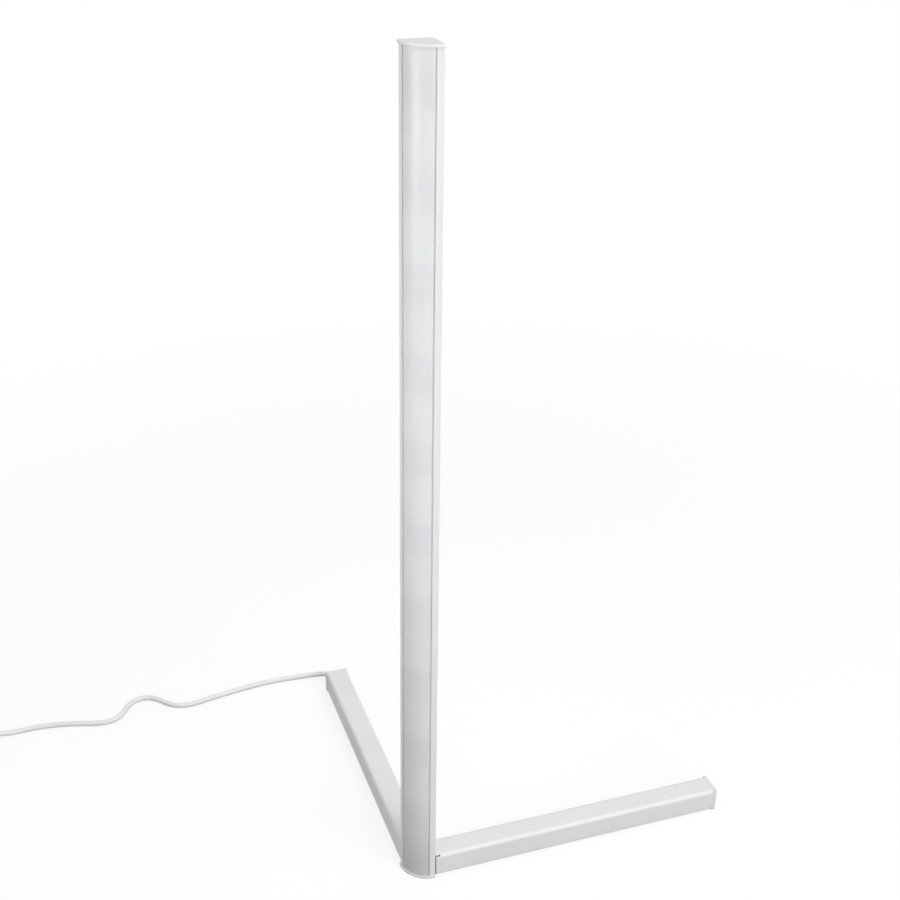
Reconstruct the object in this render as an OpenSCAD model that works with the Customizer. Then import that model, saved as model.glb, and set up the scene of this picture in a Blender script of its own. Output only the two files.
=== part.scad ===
// Corner floor lamp: a quarter-round light column in the corner of an L of two square bars.
// Millimetres, +Z up. The right bar runs along +X, the left bar along +Y, the arc faces -X -Y.
// The origin is on the floor, in the middle of the lamp's own box, its cord left out.

/* [Column] */
// Overall height of the lamp
lamp_h = 1040; // [800:10:1500]
// Radius of the column's arc, and width of its two flat faces
column_r = 35; // [34:1:36]
// Wall of the column's extrusion
column_wall = 2; // [1.8:0.1:2.2]
// Arc that each lip of the extrusion covers, in degrees
lip_angle = 12.5; // [12:0.5:14]
// How far the end caps stand out past the arc
cap_proud = 2; // [1:0.5:3]
// Thickness of the column's end caps
cap_t = 3; // [2.5:0.5:4]

/* [Base bars] */
// Length of the right bar with its end cap, from the column's face
reach_right = 402; // [380:1:440]
// Length of the left bar with its end cap, from the column's face
reach_left = 388; // [380:1:420]
// Width of a bar
bar_w = 32; // [32:1:34]
// Height of a bar
bar_h = 33; // [32:1:34]
// Radius of a bar's long edges
bar_edge_r = 5; // [4:0.5:6]
// Wall of a bar
bar_wall = 1.6; // [1.4:0.1:1.8]
// Thickness of a bar's end cap
end_cap_t = 4; // [3:0.5:5]
// Seam between the column's face and a bar
seam = 1.6; // [0.8:0.2:2]
// Thickness of the rubber pads under the bars
pad_t = 0.8; // [0.6:0.1:1]

/* [Light] */
// Number of light chips on the strip
led_count = 60; // [30:10:60]
// Length of the light strip
strip_len = 1000; // [700:100:1000]

/* [Cord] */
// Diameter of the mains cord
cord_d = 7.5; // [7:0.1:7.6]
// Turns in each of the coil's two layers
layer_turns = 2.5; // [2.5:1:3.5]

/* [Hidden] */
$fn = 64;
e = 0.01;                               // cutters run this far past a face

// Column
cap_r = column_r + cap_proud;
cap_edge_r = 0.8;                       // rounded rim of the column's caps
cap_floor_gap = 0.5;                    // the bottom cap hangs this far above the floor
column_z0 = cap_floor_gap + cap_t;
column_z1 = lamp_h - cap_t;
lip_t = 2;                              // a lip's thickness
slot_r0 = column_r - 4;                 // the slot for the diffuser's flange lies between these radii
slot_r1 = column_r - lip_t;
rail_t = 1.4;                           // the rail behind that slot
rail_angle = 10.5;
web_sum = 17;                           // the web's front is the line x + y = -web_sum
web_t = 1.8;
port_hole_r = 1.25;
corner_port = [-5.2, -5.2];             // screw ports, from the column's square corner
corner_port_r = 3.9;
side_port = [-(column_r - 6.7), -4];
side_port_r = 2.4;
groove_angle = 1.2;                     // the dark line between a lip and the diffuser
flange_angle = 5.5;
riser_angle = 2.5;
diffuser_t = 1.6;
diffuser_sink = 0.1;                    // the diffuser's face lies this far inside the arc
diffuser_fit = 0.3;                     // play round the diffuser's flange
strip_w = 10;
strip_t = 0.4;
strip_z0 = 20;
strip_side = web_sum / 2 + strip_t / sqrt(2);
led_w = 5;
led_t = 1.6;

// Bars, drawn along +X from the column's face at x = 0, with y from -bar_outer to -bar_inner
bar_inner = 2;
bar_outer = bar_inner + bar_w;
bar_mid = (bar_inner + bar_outer) / 2;
bar_z0 = pad_t;
bar_z1 = bar_z0 + bar_h;
bar_floor = bar_z0 + bar_wall;
cap_screw_side = 8;                     // the end cap's two screws lie this far to each side of the middle
cap_screw_z = bar_z1 - bar_wall - 2;
proud = 0.5;                            // an end cap stands this far out past the bar's sides and top
proud_low = 0.3;                        // and this far past its underside
cap_corner_r = 2.5;
bracket_len = 36;
bracket_w = 27;
bracket_h = 24.4;
bolt_side = 21;                         // bolts and cable hole, from the column's square corner
bolt_z = [bar_z0 + 7.7, bar_z0 + 21.7];
cable_z = bar_z0 + 14.7;
cable_hole_r = 3.2;
bolt_r = 2;
screw_r = 2;
head_r = 3.6;
bar_screw_x = [18, 30];
ballast_w = 19;
ballast_h = 22;
ballast_x = 48;
ballast_right_len = 312;
ballast_left_len = 124;
ballast_in_y = -bar_outer + bar_edge_r;
pad_r = 7;
pad_x = [64, reach_right - 36];
column_pad = [-15, -15];
column_pad_r = 6.5;

// Inside the left bar, along the bar
driver_x = 186;
driver_len = 110;
driver_w = 22;
driver_h = 17;
driver_wall = 1.2;
board_z = bar_floor + 3.6;
lead_z = bar_z0 + 8.2;                  // height of the leads' axes
cable_side = 10;                        // the lamp's cable, from the column's square corner
terminal_x = 316;
terminal_len = 16;
terminal_h = 14;
terminal_pitch = 7;
lead_sides = [bar_mid - terminal_pitch, bar_mid];
clamp_x = 352;
clamp_len = 10;
clamp_w = 17;
clamp_screw_side = 6.2;
inlet_side = 15.5;                      // the cord's axis, from the column's square corner
inlet_z = 8.5;
inlet_x0 = 348;
inlet_hole_r = 5.2;
earth_x = 306;
earth_side = bar_mid + 7;

// Where the column's square corner stands
corner_x = -(reach_right - cap_r) / 2;
corner_y = -(reach_left - cap_r) / 2;

// Cord
cord_r = cord_d / 2;
exit = [corner_x - inlet_side, corner_y + reach_left, inlet_z];
boot_bend_r = 32;                       // the strain relief leads the cord round this bend
boot_angle = 50;
boot_flange_t = 4;
boot_core_r = 4.6;
boot_rings = 8;
boot_bend = [exit.x - boot_bend_r, exit.y + boot_flange_t];
boot_tip = [boot_bend.x + boot_bend_r * cos(boot_angle), boot_bend.y + boot_bend_r * sin(boot_angle)];
boot_way = [-sin(boot_angle), cos(boot_angle)];

switch_at = [-742, 248];                // the in-line switch lies along X
switch_len = 48;
switch_w = 28;
switch_h = 19;
switch_split = 9;                       // height of the parting plane and of the cord's axis
switch_end_r = 8;
switch_wall = 1.8;
nozzle_len = 6;
nozzle_r = 6;
pivot_z = 14;
rocker_w = 13;
rocker_tilt = 8;
rocker_pin_r = 1.2;
switch_screw = [18, 7.5];
switch_x0 = switch_at.x - switch_len / 2 - nozzle_len;
switch_x1 = switch_at.x + switch_len / 2 + nozzle_len;
switch_lift = switch_split - cord_r;

plug_at = [-815, 55];                   // where the cord enters the plug, which points along -Y
plug_z = 17;
plug_len = 50;
plug_r = 19;
pin_r = 2.4;
pin_len = 19;
pin_root_r = 1.6;
pin_root_len = 8;
pin_gap = 19;

coil_at = [-765, 165];
coil_gap = 0.6;                         // air between neighbouring turns
coil_step = cord_d + coil_gap;
coil_r_out = 50;
loop_rings = 24;
coil_turns = 2 * layer_turns;
coil_x = coil_at.x - coil_r_out;        // both ends of the coil point along Y here

// The cord's free stretches: x, y and how high the cord is lifted above lying on the floor
lead_route = [
    [-222, 248, 2.6], [-237, 252, 0.8], [-253, 254.2, 0], [-269, 255, 0], [-285, 255.3, 0], [-302, 254.7, 0],
    [-319, 253.2, 0], [-335, 251.2, 0], [-351, 248.7, 0], [-367, 246.1, 0], [-382, 243.5, 0],
    [-397, 240.3, 0], [-412, 237.3, 0], [-427.5, 237, 0], [-442, 241.6, 0], [-454.5, 252, 0],
    [-465.5, 264, 0], [-478, 272, 0], [-493.5, 272, 0], [-506.5, 263, 0], [-516.5, 248.5, 0],
    [-527.5, 237, 0], [-542.5, 232.5, 0], [-558, 234, 0], [-573.5, 238.3, 0], [-589, 242.7, 0],
    [-604, 246.3, 0], [-620, 249.1, 0], [-635.5, 250.5, 0], [-651, 250.7, 0], [-667, 249.8, 0.2],
    [-683, 248.7, 1.5], [-696, 248, 4]
];
link_route = [
    [-793.5, 245.3, 3.6], [-804.7, 237.7, 1.4], [-812.3, 226.4, 0.2], [-815, 213, 0], [-815, 198, 0],
    [-815, 184, 0]
];
tail_route = [
    [-815, 138, 5.6], [-815, 124, 2.2], [-815, 110, 0.2], [-815, 98, 1], [-815, 85, 4.8], [-815, 73, 10]
];

function on_floor(route) = [for (p = route) [p.x, p.y, cord_r + p.z]];
function link(a, b, t) = a + (b - a) * t;

lead_path = concat(
    [[boot_tip.x, boot_tip.y, inlet_z]],
    [[boot_tip.x + boot_way.x * cord_r, boot_tip.y + boot_way.y * cord_r, inlet_z]],
    on_floor(lead_route),
    [[switch_x1 + cord_d, switch_at.y, switch_split], [switch_x1, switch_at.y, switch_split]]
);
link_path = concat(
    [[switch_x0, switch_at.y, switch_split], [switch_x0 - cord_d, switch_at.y, switch_split]],
    on_floor(link_route),
    [[coil_x, coil_at.y + cord_d, cord_r]]
);
tail_path = concat(
    [[coil_x, coil_at.y - cord_d, cord_r + coil_step], [coil_x, coil_at.y - 2 * cord_d, cord_r + coil_step]],
    on_floor(tail_route),
    [[plug_at.x, plug_at.y + cord_d, plug_z], [plug_at.x, plug_at.y, plug_z]]
);

// The coil spirals in on the floor, climbs a layer in the half turn where it reverses, and spirals out again
function coil_r(t) = coil_r_out - coil_step * min(t, coil_turns - t);
function climb(t) = max(0, min(1, 2 * (t - layer_turns) + 0.5));
function coil_lift(t) = coil_step * (3 * pow(climb(t), 2) - 2 * pow(climb(t), 3));
function coil_point(t) = [
    coil_at.x + coil_r(t) * cos(180 + 360 * t),
    coil_at.y + coil_r(t) * sin(180 + 360 * t),
    cord_r + coil_lift(t)
];
coil_loops = [for (i = [0 : coil_turns * loop_rings]) coil_point(i / loop_rings)];
coil_path = concat(
    [[coil_x, coil_at.y + cord_d, cord_r]],
    coil_loops,
    [[coil_x, coil_at.y - cord_d, cord_r + coil_step]]
);
coil_least_gap = min([
    for (i = [0 : len(coil_loops) - 1], j = [i + loop_rings / 2 : 1 : len(coil_loops) - 1])
        norm(coil_loops[i] - coil_loops[j])
]) - cord_d;
function steps(path) = [for (i = [1 : len(path) - 1]) norm(path[i] - path[i - 1])];
function total(list) = list * [for (step = list) 1];
cord_parts = [steps(lead_path), steps(link_path), steps(coil_path), steps(tail_path)];
echo(coil_least_gap = coil_least_gap);
echo(cord_lengths = [for (part = cord_parts) total(part)]);

// ---- helpers ----

module at_corner() translate([corner_x, corner_y, 0]) children();
module right_arm() at_corner() children();
module left_arm() at_corner() mirror([1, -1, 0]) children();
module both_arms() {
    right_arm() children();
    left_arm() children();
}

// Part of a ring in the column's quarter, its angles counted from the flat face along X
module sector(r0, r1, a0, a1) {
    reach = 2 * r1;
    am = (a0 + a1) / 2;
    rotate(180) intersection() {
        difference() {
            circle(r1, $fn = 128);
            circle(r0, $fn = 128);
        }
        polygon([
            [0, 0], [reach * cos(a0), reach * sin(a0)], [reach * cos(am), reach * sin(am)],
            [reach * cos(a1), reach * sin(a1)]
        ]);
    }
}

// The same part at both ends of the arc
module two_sectors(r0, r1, a0, a1) {
    sector(r0, r1, a0, a1);
    sector(r0, r1, 90 - a1, 90 - a0);
}

module rounded_rect(w, h, r) {
    translate([-w / 2 + r, -h / 2]) square([w - 2 * r, h]);
    translate([-w / 2, -h / 2 + r]) square([w, h - 2 * r]);
    for (x = [-1, 1], y = [-1, 1]) translate([x * (w / 2 - r), y * (h / 2 - r)]) circle(r);
}

// Extrudes a bar's section, drawn with y up and centred, along +X from x0
module along_bar(x0, length) {
    translate([x0, -bar_mid, bar_z0 + bar_h / 2]) rotate([90, 0, 90]) linear_extrude(length) children();
}

// A cylinder along +X
module rod_x(r, length) rotate([0, 90, 0]) cylinder(r = r, h = length);

// A countersunk screw pointing up, the rim of its head at z = 0
module flat_screw(r, big_r, sink, length) {
    cylinder(r1 = big_r, r2 = r, h = sink);
    cylinder(r = r, h = length);
}

// The hole for it, a little wider
module screw_hole(r, big_r, sink, length) {
    translate([0, 0, -e]) cylinder(r = r + 0.05, h = length + e);
    translate([0, 0, -e]) cylinder(r1 = big_r + 0.05, r2 = r + 0.05, h = sink + e);
}

function unit(v) = v / norm(v);
function way_at(path, i) = unit(path[min(i + 1, len(path) - 1)] - path[max(i - 1, 0)]);
function ring(path, i, r, sides) =
    let (t = way_at(path, i), side = unit([-t.y, t.x, 0]), up = cross(t, side))
    [for (k = [0 : sides - 1]) let (a = 360 * (k + 0.5) / sides) path[i] + r * (cos(a) * side + sin(a) * up)];

// A round tube along a path, one ring of points at each of the path's own points
module tube(path, r, sides) {
    n = len(path);
    points = [for (i = [0 : n - 1]) each ring(path, i, r, sides)];
    walls = [
        for (i = [0 : n - 2], k = [0 : sides - 1])
            let (a = i * sides, b = a + sides, next = (k + 1) % sides)
            each [[a + k, b + k, b + next], [a + k, b + next, a + next]]
    ];
    ends = [
        for (k = [1 : sides - 2])
            each [[0, k, k + 1], [(n - 1) * sides, (n - 1) * sides + k + 1, (n - 1) * sides + k]]
    ];
    polyhedron(points, concat(walls, ends));
}

// ---- column ----

module column_section() {
    difference() {
        intersection() {
            circle(column_r, $fn = 128);
            union() {
                translate([-column_wall, -column_r]) square([column_wall, column_r]);
                translate([-column_r, -column_wall]) square([column_r, column_wall]);
                two_sectors(slot_r1, column_r + 1, 0, lip_angle);
                two_sectors(slot_r0 - rail_t, slot_r0, 0, rail_angle);
                web_back = web_sum - web_t * sqrt(2);
                polygon([
                    [-web_sum + 1, -1], [-1, -web_sum + 1], [-1, -web_back + 1], [-web_back + 1, -1]
                ]);
                translate(corner_port) circle(corner_port_r);
                translate(side_port) circle(side_port_r);
                translate([side_port.y, side_port.x]) circle(side_port_r);
            }
        }
        translate(corner_port) circle(port_hole_r);
        translate(side_port) circle(port_hole_r);
        translate([side_port.y, side_port.x]) circle(port_hole_r);
    }
}

module column_profile() color("white") at_corner() difference() {
    translate([0, 0, column_z0]) linear_extrude(column_z1 - column_z0) column_section();
    for (z = bolt_z) {
        translate([-column_wall - 1, -bolt_side, z]) rod_x(bolt_r + 0.2, column_wall + 2);
        mirror([1, -1, 0]) translate([-column_wall - 1, -bolt_side, z])
            rod_x(bolt_r + 0.2, column_wall + 2);
    }
    mirror([1, -1, 0]) translate([-column_wall - 1, -bolt_side, cable_z])
        rod_x(cable_hole_r, column_wall + 2);
}

module diffuser() color("lavender") at_corner() {
    face_r = column_r - diffuser_sink;
    foot_r = slot_r0 + diffuser_fit;
    first = lip_angle + groove_angle;
    translate([0, 0, column_z0 + 0.1]) linear_extrude(column_z1 - column_z0 - 0.2) {
        sector(face_r - diffuser_t, face_r, first, 90 - first);
        two_sectors(foot_r, face_r, first, first + riser_angle);
        two_sectors(foot_r, slot_r1 - diffuser_fit, flange_angle, first + riser_angle);
    }
}

// The strip lies on the web, its chips facing the arc
module on_web() at_corner() translate([-web_sum / 2, -web_sum / 2, 0]) rotate(45) children();

module led_strip() color("ivory") on_web()
    translate([-strip_t, -strip_w / 2, strip_z0]) cube([strip_t, strip_w, strip_len]);

module led_chips() color("khaki") on_web() {
    pitch = strip_len / led_count;
    for (i = [0 : led_count - 1])
        translate([-strip_t - led_t, -led_w / 2, strip_z0 + (i + 0.5) * pitch - led_w / 2])
            cube([led_t, led_w, led_w]);
}

// A quarter disc with a rounded rim, its outer face up
module cap_plate() rotate(180) rotate_extrude(angle = 90, $fn = 128) {
    square([cap_r - cap_edge_r, cap_t]);
    square([cap_r, cap_t - cap_edge_r]);
    translate([cap_r - cap_edge_r, cap_t - cap_edge_r]) circle(cap_edge_r);
}

module at_ports() {
    translate(corner_port) children();
    translate(side_port) children();
    translate([side_port.y, side_port.x]) children();
}

module top_cap() color("white") at_corner() {
    translate([0, 0, column_z1]) cap_plate();
    at_ports() translate([0, 0, column_z1 - 8]) cylinder(r = port_hole_r - 0.05, h = 8 + e);
}

module bottom_cap() color("white") at_corner() difference() {
    translate([0, 0, column_z0]) mirror([0, 0, 1]) cap_plate();
    at_ports() translate([0, 0, cap_floor_gap]) screw_hole(1.2, 2.7, 1.5, cap_t + e);
    translate([column_pad.x, column_pad.y, 0]) cylinder(r = column_pad_r + 0.1, h = cap_floor_gap + 1);
}

module bottom_cap_screws() color("silver") at_corner()
    at_ports() translate([0, 0, cap_floor_gap]) flat_screw(1.2, 2.7, 1.5, cap_t + 9);

module cable_grommet() color("dimgray") left_arm()
    translate([-column_wall, -bolt_side, cable_z]) difference() {
        union() {
            rod_x(cable_hole_r - 0.05, column_wall);
            translate([-1, 0, 0]) rod_x(cable_hole_r + 0.6, 1);
        }
        translate([-1 - e, 0, 0]) rod_x(1.85, column_wall + 2);
    }

// ---- base bars, drawn along +X ----

// Two small notches in the outer upper edge, whose middle lies s in from where the faces would meet
module edge_notches(x, step, r, s, deep) {
    for (i = [0, 1]) translate([x + i * step, -bar_outer + s, bar_z1 - s])
        rotate([45, 0, 0]) translate([0, 0, -deep]) cylinder(r = r, h = deep + 2, $fn = 24);
}

module bar(reach, floor_holes) difference() {
    length = reach - end_cap_t - seam;
    along_bar(seam, length) difference() {
        union() {
            difference() {
                rounded_rect(bar_w, bar_h, bar_edge_r);
                rounded_rect(bar_w - 2 * bar_wall, bar_h - 2 * bar_wall, bar_edge_r - bar_wall);
            }
            for (s = [-1, 1]) translate([s * cap_screw_side, cap_screw_z - bar_z0 - bar_h / 2]) circle(2.4);
        }
        for (s = [-1, 1]) translate([s * cap_screw_side, cap_screw_z - bar_z0 - bar_h / 2])
            circle(port_hole_r);
    }
    for (x = concat(bar_screw_x, floor_holes))
        translate([x, -bar_mid, bar_z0]) screw_hole(screw_r, head_r, bar_wall, bar_wall + 1);
    edge_notches(seam + 1.5, 3.2, 1.2, bar_edge_r * (1 - sqrt(0.5)), bar_wall + 0.6);
}

ballast_right_screws = [ballast_x + 42, ballast_x + 272];
ballast_left_screws = [ballast_x + 42, ballast_x + 104];

module bar_right() color("white") right_arm() bar(reach_right, ballast_right_screws);

module bar_left() color("white") left_arm() difference() {
    bar(reach_left, ballast_left_screws);
    translate([earth_x, -earth_side, bar_z0 - 1]) cylinder(r = 1.55, h = bar_wall + 2);
}

module end_cap(reach) difference() {
    union() {
        translate([reach - end_cap_t, -bar_mid, (bar_z0 + bar_z1 + proud - proud_low) / 2])
            rotate([90, 0, 90]) linear_extrude(end_cap_t)
                rounded_rect(bar_w + 2 * proud, bar_h + proud + proud_low, cap_corner_r);
        for (s = [-1, 1]) translate([reach - end_cap_t - 6, -bar_mid + s * 13.4 - 0.8, bar_floor + 4])
            cube([6 + e, 1.6, 18]);
    }
    for (s = [-1, 1]) translate([reach, -bar_mid + s * cap_screw_side, cap_screw_z]) rotate([0, -90, 0])
        screw_hole(1.2, 2.7, 1.5, end_cap_t + 1);
    edge_notches(reach - 3.05, 2.1, 0.65, cap_corner_r * (1 - sqrt(0.5)) - proud, 2);
}

module end_cap_right() color("whitesmoke") right_arm() end_cap(reach_right);

module end_cap_left() color("whitesmoke") left_arm() difference() {
    end_cap(reach_left);
    translate([reach_left - end_cap_t - 1, -inlet_side, inlet_z]) rod_x(inlet_hole_r, end_cap_t + 2);
}

module cap_screw_pair(reach) for (s = [-1, 1])
    translate([reach, -bar_mid + s * cap_screw_side, cap_screw_z]) rotate([0, -90, 0])
        flat_screw(1.2, 2.7, 1.5, end_cap_t + 10);

module end_cap_screws() color("silver") {
    right_arm() cap_screw_pair(reach_right);
    left_arm() cap_screw_pair(reach_left);
}

// A block inside the bar's end, with a thin plate between bar and column that shows as a dark line
module bracket() difference() {
    union() {
        translate([0, -bar_mid, bar_z0 + bar_h / 2]) rotate([90, 0, 90]) linear_extrude(seam)
            rounded_rect(bar_w - 0.5, bar_h - 0.5, bar_edge_r - 0.25);
        translate([seam - e, -bar_mid - bracket_w / 2, bar_floor + 3])
            cube([bracket_len, bracket_w, bracket_h - 3]);
        translate([seam - e, -bar_mid - 10, bar_floor]) cube([bracket_len, 20, 4]);
    }
    for (z = bolt_z) translate([-1, -bolt_side, z]) rod_x(bolt_r + 0.05, 16);
    for (x = bar_screw_x) translate([x, -bar_mid, bar_floor - 1]) cylinder(r = screw_r + 0.05, h = 5.5);
    translate([-1, -bolt_side, cable_z]) rod_x(cable_hole_r, bracket_len + 3);
}

module bracket_right() color("dimgray") right_arm() bracket();
module bracket_left() color("dimgray") left_arm() bracket();

module bracket_bolts() color("silver") both_arms() for (z = bolt_z)
    translate([-column_wall, -bolt_side, z]) {
        rod_x(bolt_r, column_wall + 14);
        translate([-2.2, 0, 0]) rod_x(3, 2.2);
    }

module bar_screws() color("silver") both_arms() for (x = bar_screw_x)
    translate([x, -bar_mid, bar_z0]) flat_screw(screw_r, head_r, bar_wall, bar_wall + 4);

module ballast(length, screws) difference() {
    translate([ballast_x, ballast_in_y, bar_floor]) cube([length, ballast_w, ballast_h]);
    for (x = screws) translate([x, -bar_mid, bar_floor - 1]) cylinder(r = screw_r + 0.05, h = 10);
}

module ballast_right() color("slategray") right_arm() ballast(ballast_right_len, ballast_right_screws);
module ballast_left() color("slategray") left_arm() ballast(ballast_left_len, ballast_left_screws);

module ballast_screws() color("silver") {
    right_arm() for (x = ballast_right_screws)
        translate([x, -bar_mid, bar_z0]) flat_screw(screw_r, head_r, bar_wall, bar_wall + 8);
    left_arm() for (x = ballast_left_screws)
        translate([x, -bar_mid, bar_z0]) flat_screw(screw_r, head_r, bar_wall, bar_wall + 8);
}

module foot_pads() color("dimgray") {
    right_arm() for (x = pad_x) translate([x, -bar_mid, 0]) cylinder(r = pad_r, h = pad_t);
    left_arm() for (x = pad_x) translate([x - 14, -bar_mid, 0]) cylinder(r = pad_r, h = pad_t);
    at_corner() translate(column_pad) cylinder(r = column_pad_r, h = cap_floor_gap + 1);
}

// ---- inside the left bar, drawn along +X ----

module driver_tray() color("whitesmoke") left_arm() difference() {
    translate([driver_x, -bar_mid - driver_w / 2, bar_floor]) cube([driver_len, driver_w, driver_h]);
    difference() {
        translate([driver_x + driver_wall, -bar_mid - driver_w / 2 + driver_wall, bar_floor + driver_wall])
            cube([driver_len - 2 * driver_wall, driver_w - 2 * driver_wall, driver_h]);
        for (x = [8, driver_len - 8], s = [-1, 1])
            translate([driver_x + x, -bar_mid + s * 7, bar_floor]) cylinder(r = 2, h = board_z - bar_floor);
    }
    for (y = lead_sides) translate([driver_x + driver_len - 2, -y, lead_z]) rod_x(1.4, 4);
    translate([driver_x - 1, -cable_side, lead_z]) rod_x(1.9, 4);
}

module driver_lid() color("whitesmoke") left_arm()
    translate([driver_x, -bar_mid - driver_w / 2, bar_floor + driver_h]) cube([driver_len, driver_w, 1.4]);

module driver_board() color("seagreen") left_arm() {
    top = board_z + 1.2;
    translate([driver_x + 2, -bar_mid - 9.5, board_z]) cube([driver_len - 4, 19, 1.2]);
    translate([driver_x + 40, -bar_mid - 8, top]) cube([20, 16, 8]);
    translate([driver_x + 70, -bar_mid - 2, top]) cylinder(r = 5, h = 9);
    translate([driver_x + 22, -bar_mid - 3, top]) cylinder(r = 4, h = 9);
    translate([driver_x + 84, -bar_mid - 8, top]) cube([9, 5, 7]);
}

module terminal_block() color("whitesmoke") left_arm() difference() {
    translate([terminal_x, -bar_mid - 10.5, bar_floor]) cube([terminal_len, 21, terminal_h]);
    for (i = [-1, 0, 1]) translate([0, -bar_mid + i * terminal_pitch, 0]) {
        translate([terminal_x - 1, 0, lead_z]) rod_x(1.5, terminal_len + 2);
        for (x = [4, 12]) translate([terminal_x + x, 0, lead_z + 1.2]) cylinder(r = 1.8, h = terminal_h);
    }
}

module terminal_screws() color("gold") left_arm()
    for (i = [-1, 0, 1], x = [4, 12])
        translate([terminal_x + x, -bar_mid + i * terminal_pitch, lead_z + 1.3]) cylinder(r = 1.7, h = 4);

module at_clamp_screws() for (s = [-1, 1])
    translate([clamp_x + clamp_len / 2, -inlet_side + s * clamp_screw_side, inlet_z]) children();

module clamp_base() color("whitesmoke") left_arm() difference() {
    translate([clamp_x, -inlet_side - clamp_w / 2, bar_floor])
        cube([clamp_len, clamp_w, inlet_z - bar_floor]);
    translate([clamp_x - 1, -inlet_side, inlet_z]) rod_x(cord_r + 0.05, clamp_len + 2);
    at_clamp_screws() translate([0, 0, -5]) cylinder(r = 1.25, h = 6);
}

module cord_clamp() color("whitesmoke") left_arm() difference() {
    translate([clamp_x, -inlet_side - clamp_w / 2, inlet_z]) cube([clamp_len, clamp_w, 6]);
    translate([clamp_x - 1, -inlet_side, inlet_z]) rod_x(cord_r + 0.05, clamp_len + 2);
    at_clamp_screws() translate([0, 0, -1]) cylinder(r = 1.5, h = 8);
}

module clamp_screws() color("silver") left_arm() at_clamp_screws() {
    translate([0, 0, -4]) cylinder(r = 1.2, h = 10);
    translate([0, 0, 6]) cylinder(r = 2.2, h = 1.8);
}

module earth_tag() color("gold") left_arm() {
    difference() {
        translate([earth_x, -earth_side, bar_floor]) cylinder(r = 3.6, h = 0.8);
        translate([earth_x, -earth_side, bar_floor - 1]) cylinder(r = 1.6, h = 3);
    }
    translate([earth_x + 3, -earth_side - 1.2, bar_floor]) cube([6, 2.4, 0.8]);
}

module earth_screw() color("silver") left_arm() translate([earth_x, -earth_side, bar_z0 + 0.2]) {
    cylinder(r = 1.5, h = bar_wall + 0.6);
    translate([0, 0, bar_wall + 0.6]) cylinder(r = 3, h = 1.8);
}

module cord_inlet() color("white") left_arm() translate([inlet_x0, -inlet_side, inlet_z])
    rod_x(cord_r, reach_left - end_cap_t - 2 - inlet_x0);

module mains_cores() color("saddlebrown") left_arm() for (i = [-1, 0, 1]) {
    from = [-inlet_side + i * 2.1, inlet_z];
    to = [-bar_mid + i * terminal_pitch, lead_z];
    x = terminal_x + terminal_len;
    tube([
        [inlet_x0, from.x, from.y], [inlet_x0 - 2, from.x, from.y],
        [inlet_x0 - 4, link(from, to, 0.1).x, link(from, to, 0.1).y],
        [x + 5, link(from, to, 0.9).x, link(from, to, 0.9).y],
        [x + 3, to.x, to.y], [x - 6, to.x, to.y]
    ], 1, 8);
}

module driver_leads() color("steelblue") left_arm() {
    for (y = lead_sides) tube([[terminal_x + 6, -y, lead_z], [driver_x + driver_len - 5, -y, lead_z]], 1, 8);
    low = bar_floor + 1.8;
    tube([
        [terminal_x + 6, -bar_mid - terminal_pitch, lead_z], [terminal_x, -bar_mid - terminal_pitch, lead_z],
        [terminal_x - 1.6, -earth_side + 1.2, lead_z - 1.4], [terminal_x - 3.2, -earth_side + 0.4, low + 1],
        [terminal_x - 4.6, -earth_side, low], [terminal_x - 6.6, -earth_side, low]
    ], 1, 8);
}

module lamp_cable() color("white") left_arm() tube([
    [driver_x + 4, -cable_side, lead_z], [driver_x - 3, -cable_side, lead_z], [177, -8.4, lead_z],
    [170, -7.4, lead_z], [47, -7.4, lead_z],
    [43.6, -8.6, 9.8], [41.8, -12, 11.7], [41, -16.5, 14], [38.6, -20.2, cable_z - 0.2],
    [34, -bolt_side, cable_z], [-4.5, -bolt_side, cable_z], [-9, -20.8, 15.9], [-13, -19.3, 17.3],
    [-15.6, -16.6, 19.5], [-15.6, -14, 21.5], [-13.4, -12.5, 22.5], [-11, -11, 22.6],
    [-strip_side, -strip_side, 22.6]
], 1.7, 8);

// ---- cord ----

// A bent tapered boot of rings on a thinner core, held in the end cap between two flanges
module strain_relief() color("white") {
    translate(exit) rotate([-90, 0, 0]) {
        cylinder(r = 7.5, h = boot_flange_t);
        translate([0, 0, -end_cap_t - 1]) cylinder(r = inlet_hole_r - 0.05, h = end_cap_t + 1 + e);
        translate([0, 0, -end_cap_t - 2]) cylinder(r = 5.9, h = 2);
    }
    translate([boot_bend.x, boot_bend.y, exit.z]) {
        rotate_extrude(angle = boot_angle) translate([boot_bend_r, 0]) circle(boot_core_r);
        pitch = boot_angle / boot_rings;
        for (i = [0 : boot_rings - 2]) rotate(i * pitch)
            rotate_extrude(angle = 0.62 * pitch) translate([boot_bend_r, 0]) circle(6.8 - 0.28 * i);
    }
}

module cord_lead() color("white") tube(lead_path, cord_r, 10);
module cord_link() color("white") tube(link_path, cord_r, 10);
module cord_coil() color("white") tube(coil_path, cord_r, 6);
module cord_tail() color("white") tube(tail_path, cord_r, 10);

// ---- in-line switch ----

module switch_outline(inset)
    rounded_rect(switch_len - 2 * inset, switch_w - 2 * inset, switch_end_r - inset);

module switch_shell(z0, z1) {
    translate([switch_at.x, switch_at.y, z0]) linear_extrude(z1 - z0) switch_outline(0);
    intersection() {
        translate([switch_x0, switch_at.y, switch_split]) rod_x(nozzle_r, switch_x1 - switch_x0);
        translate([switch_x0, switch_at.y - nozzle_r, z0])
            cube([switch_x1 - switch_x0, 2 * nozzle_r, z1 - z0]);
    }
}

module at_switch_screws() for (s = [-1, 1])
    translate([switch_at.x + s * switch_screw.x, switch_at.y + s * switch_screw.y, 0]) children();

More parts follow.
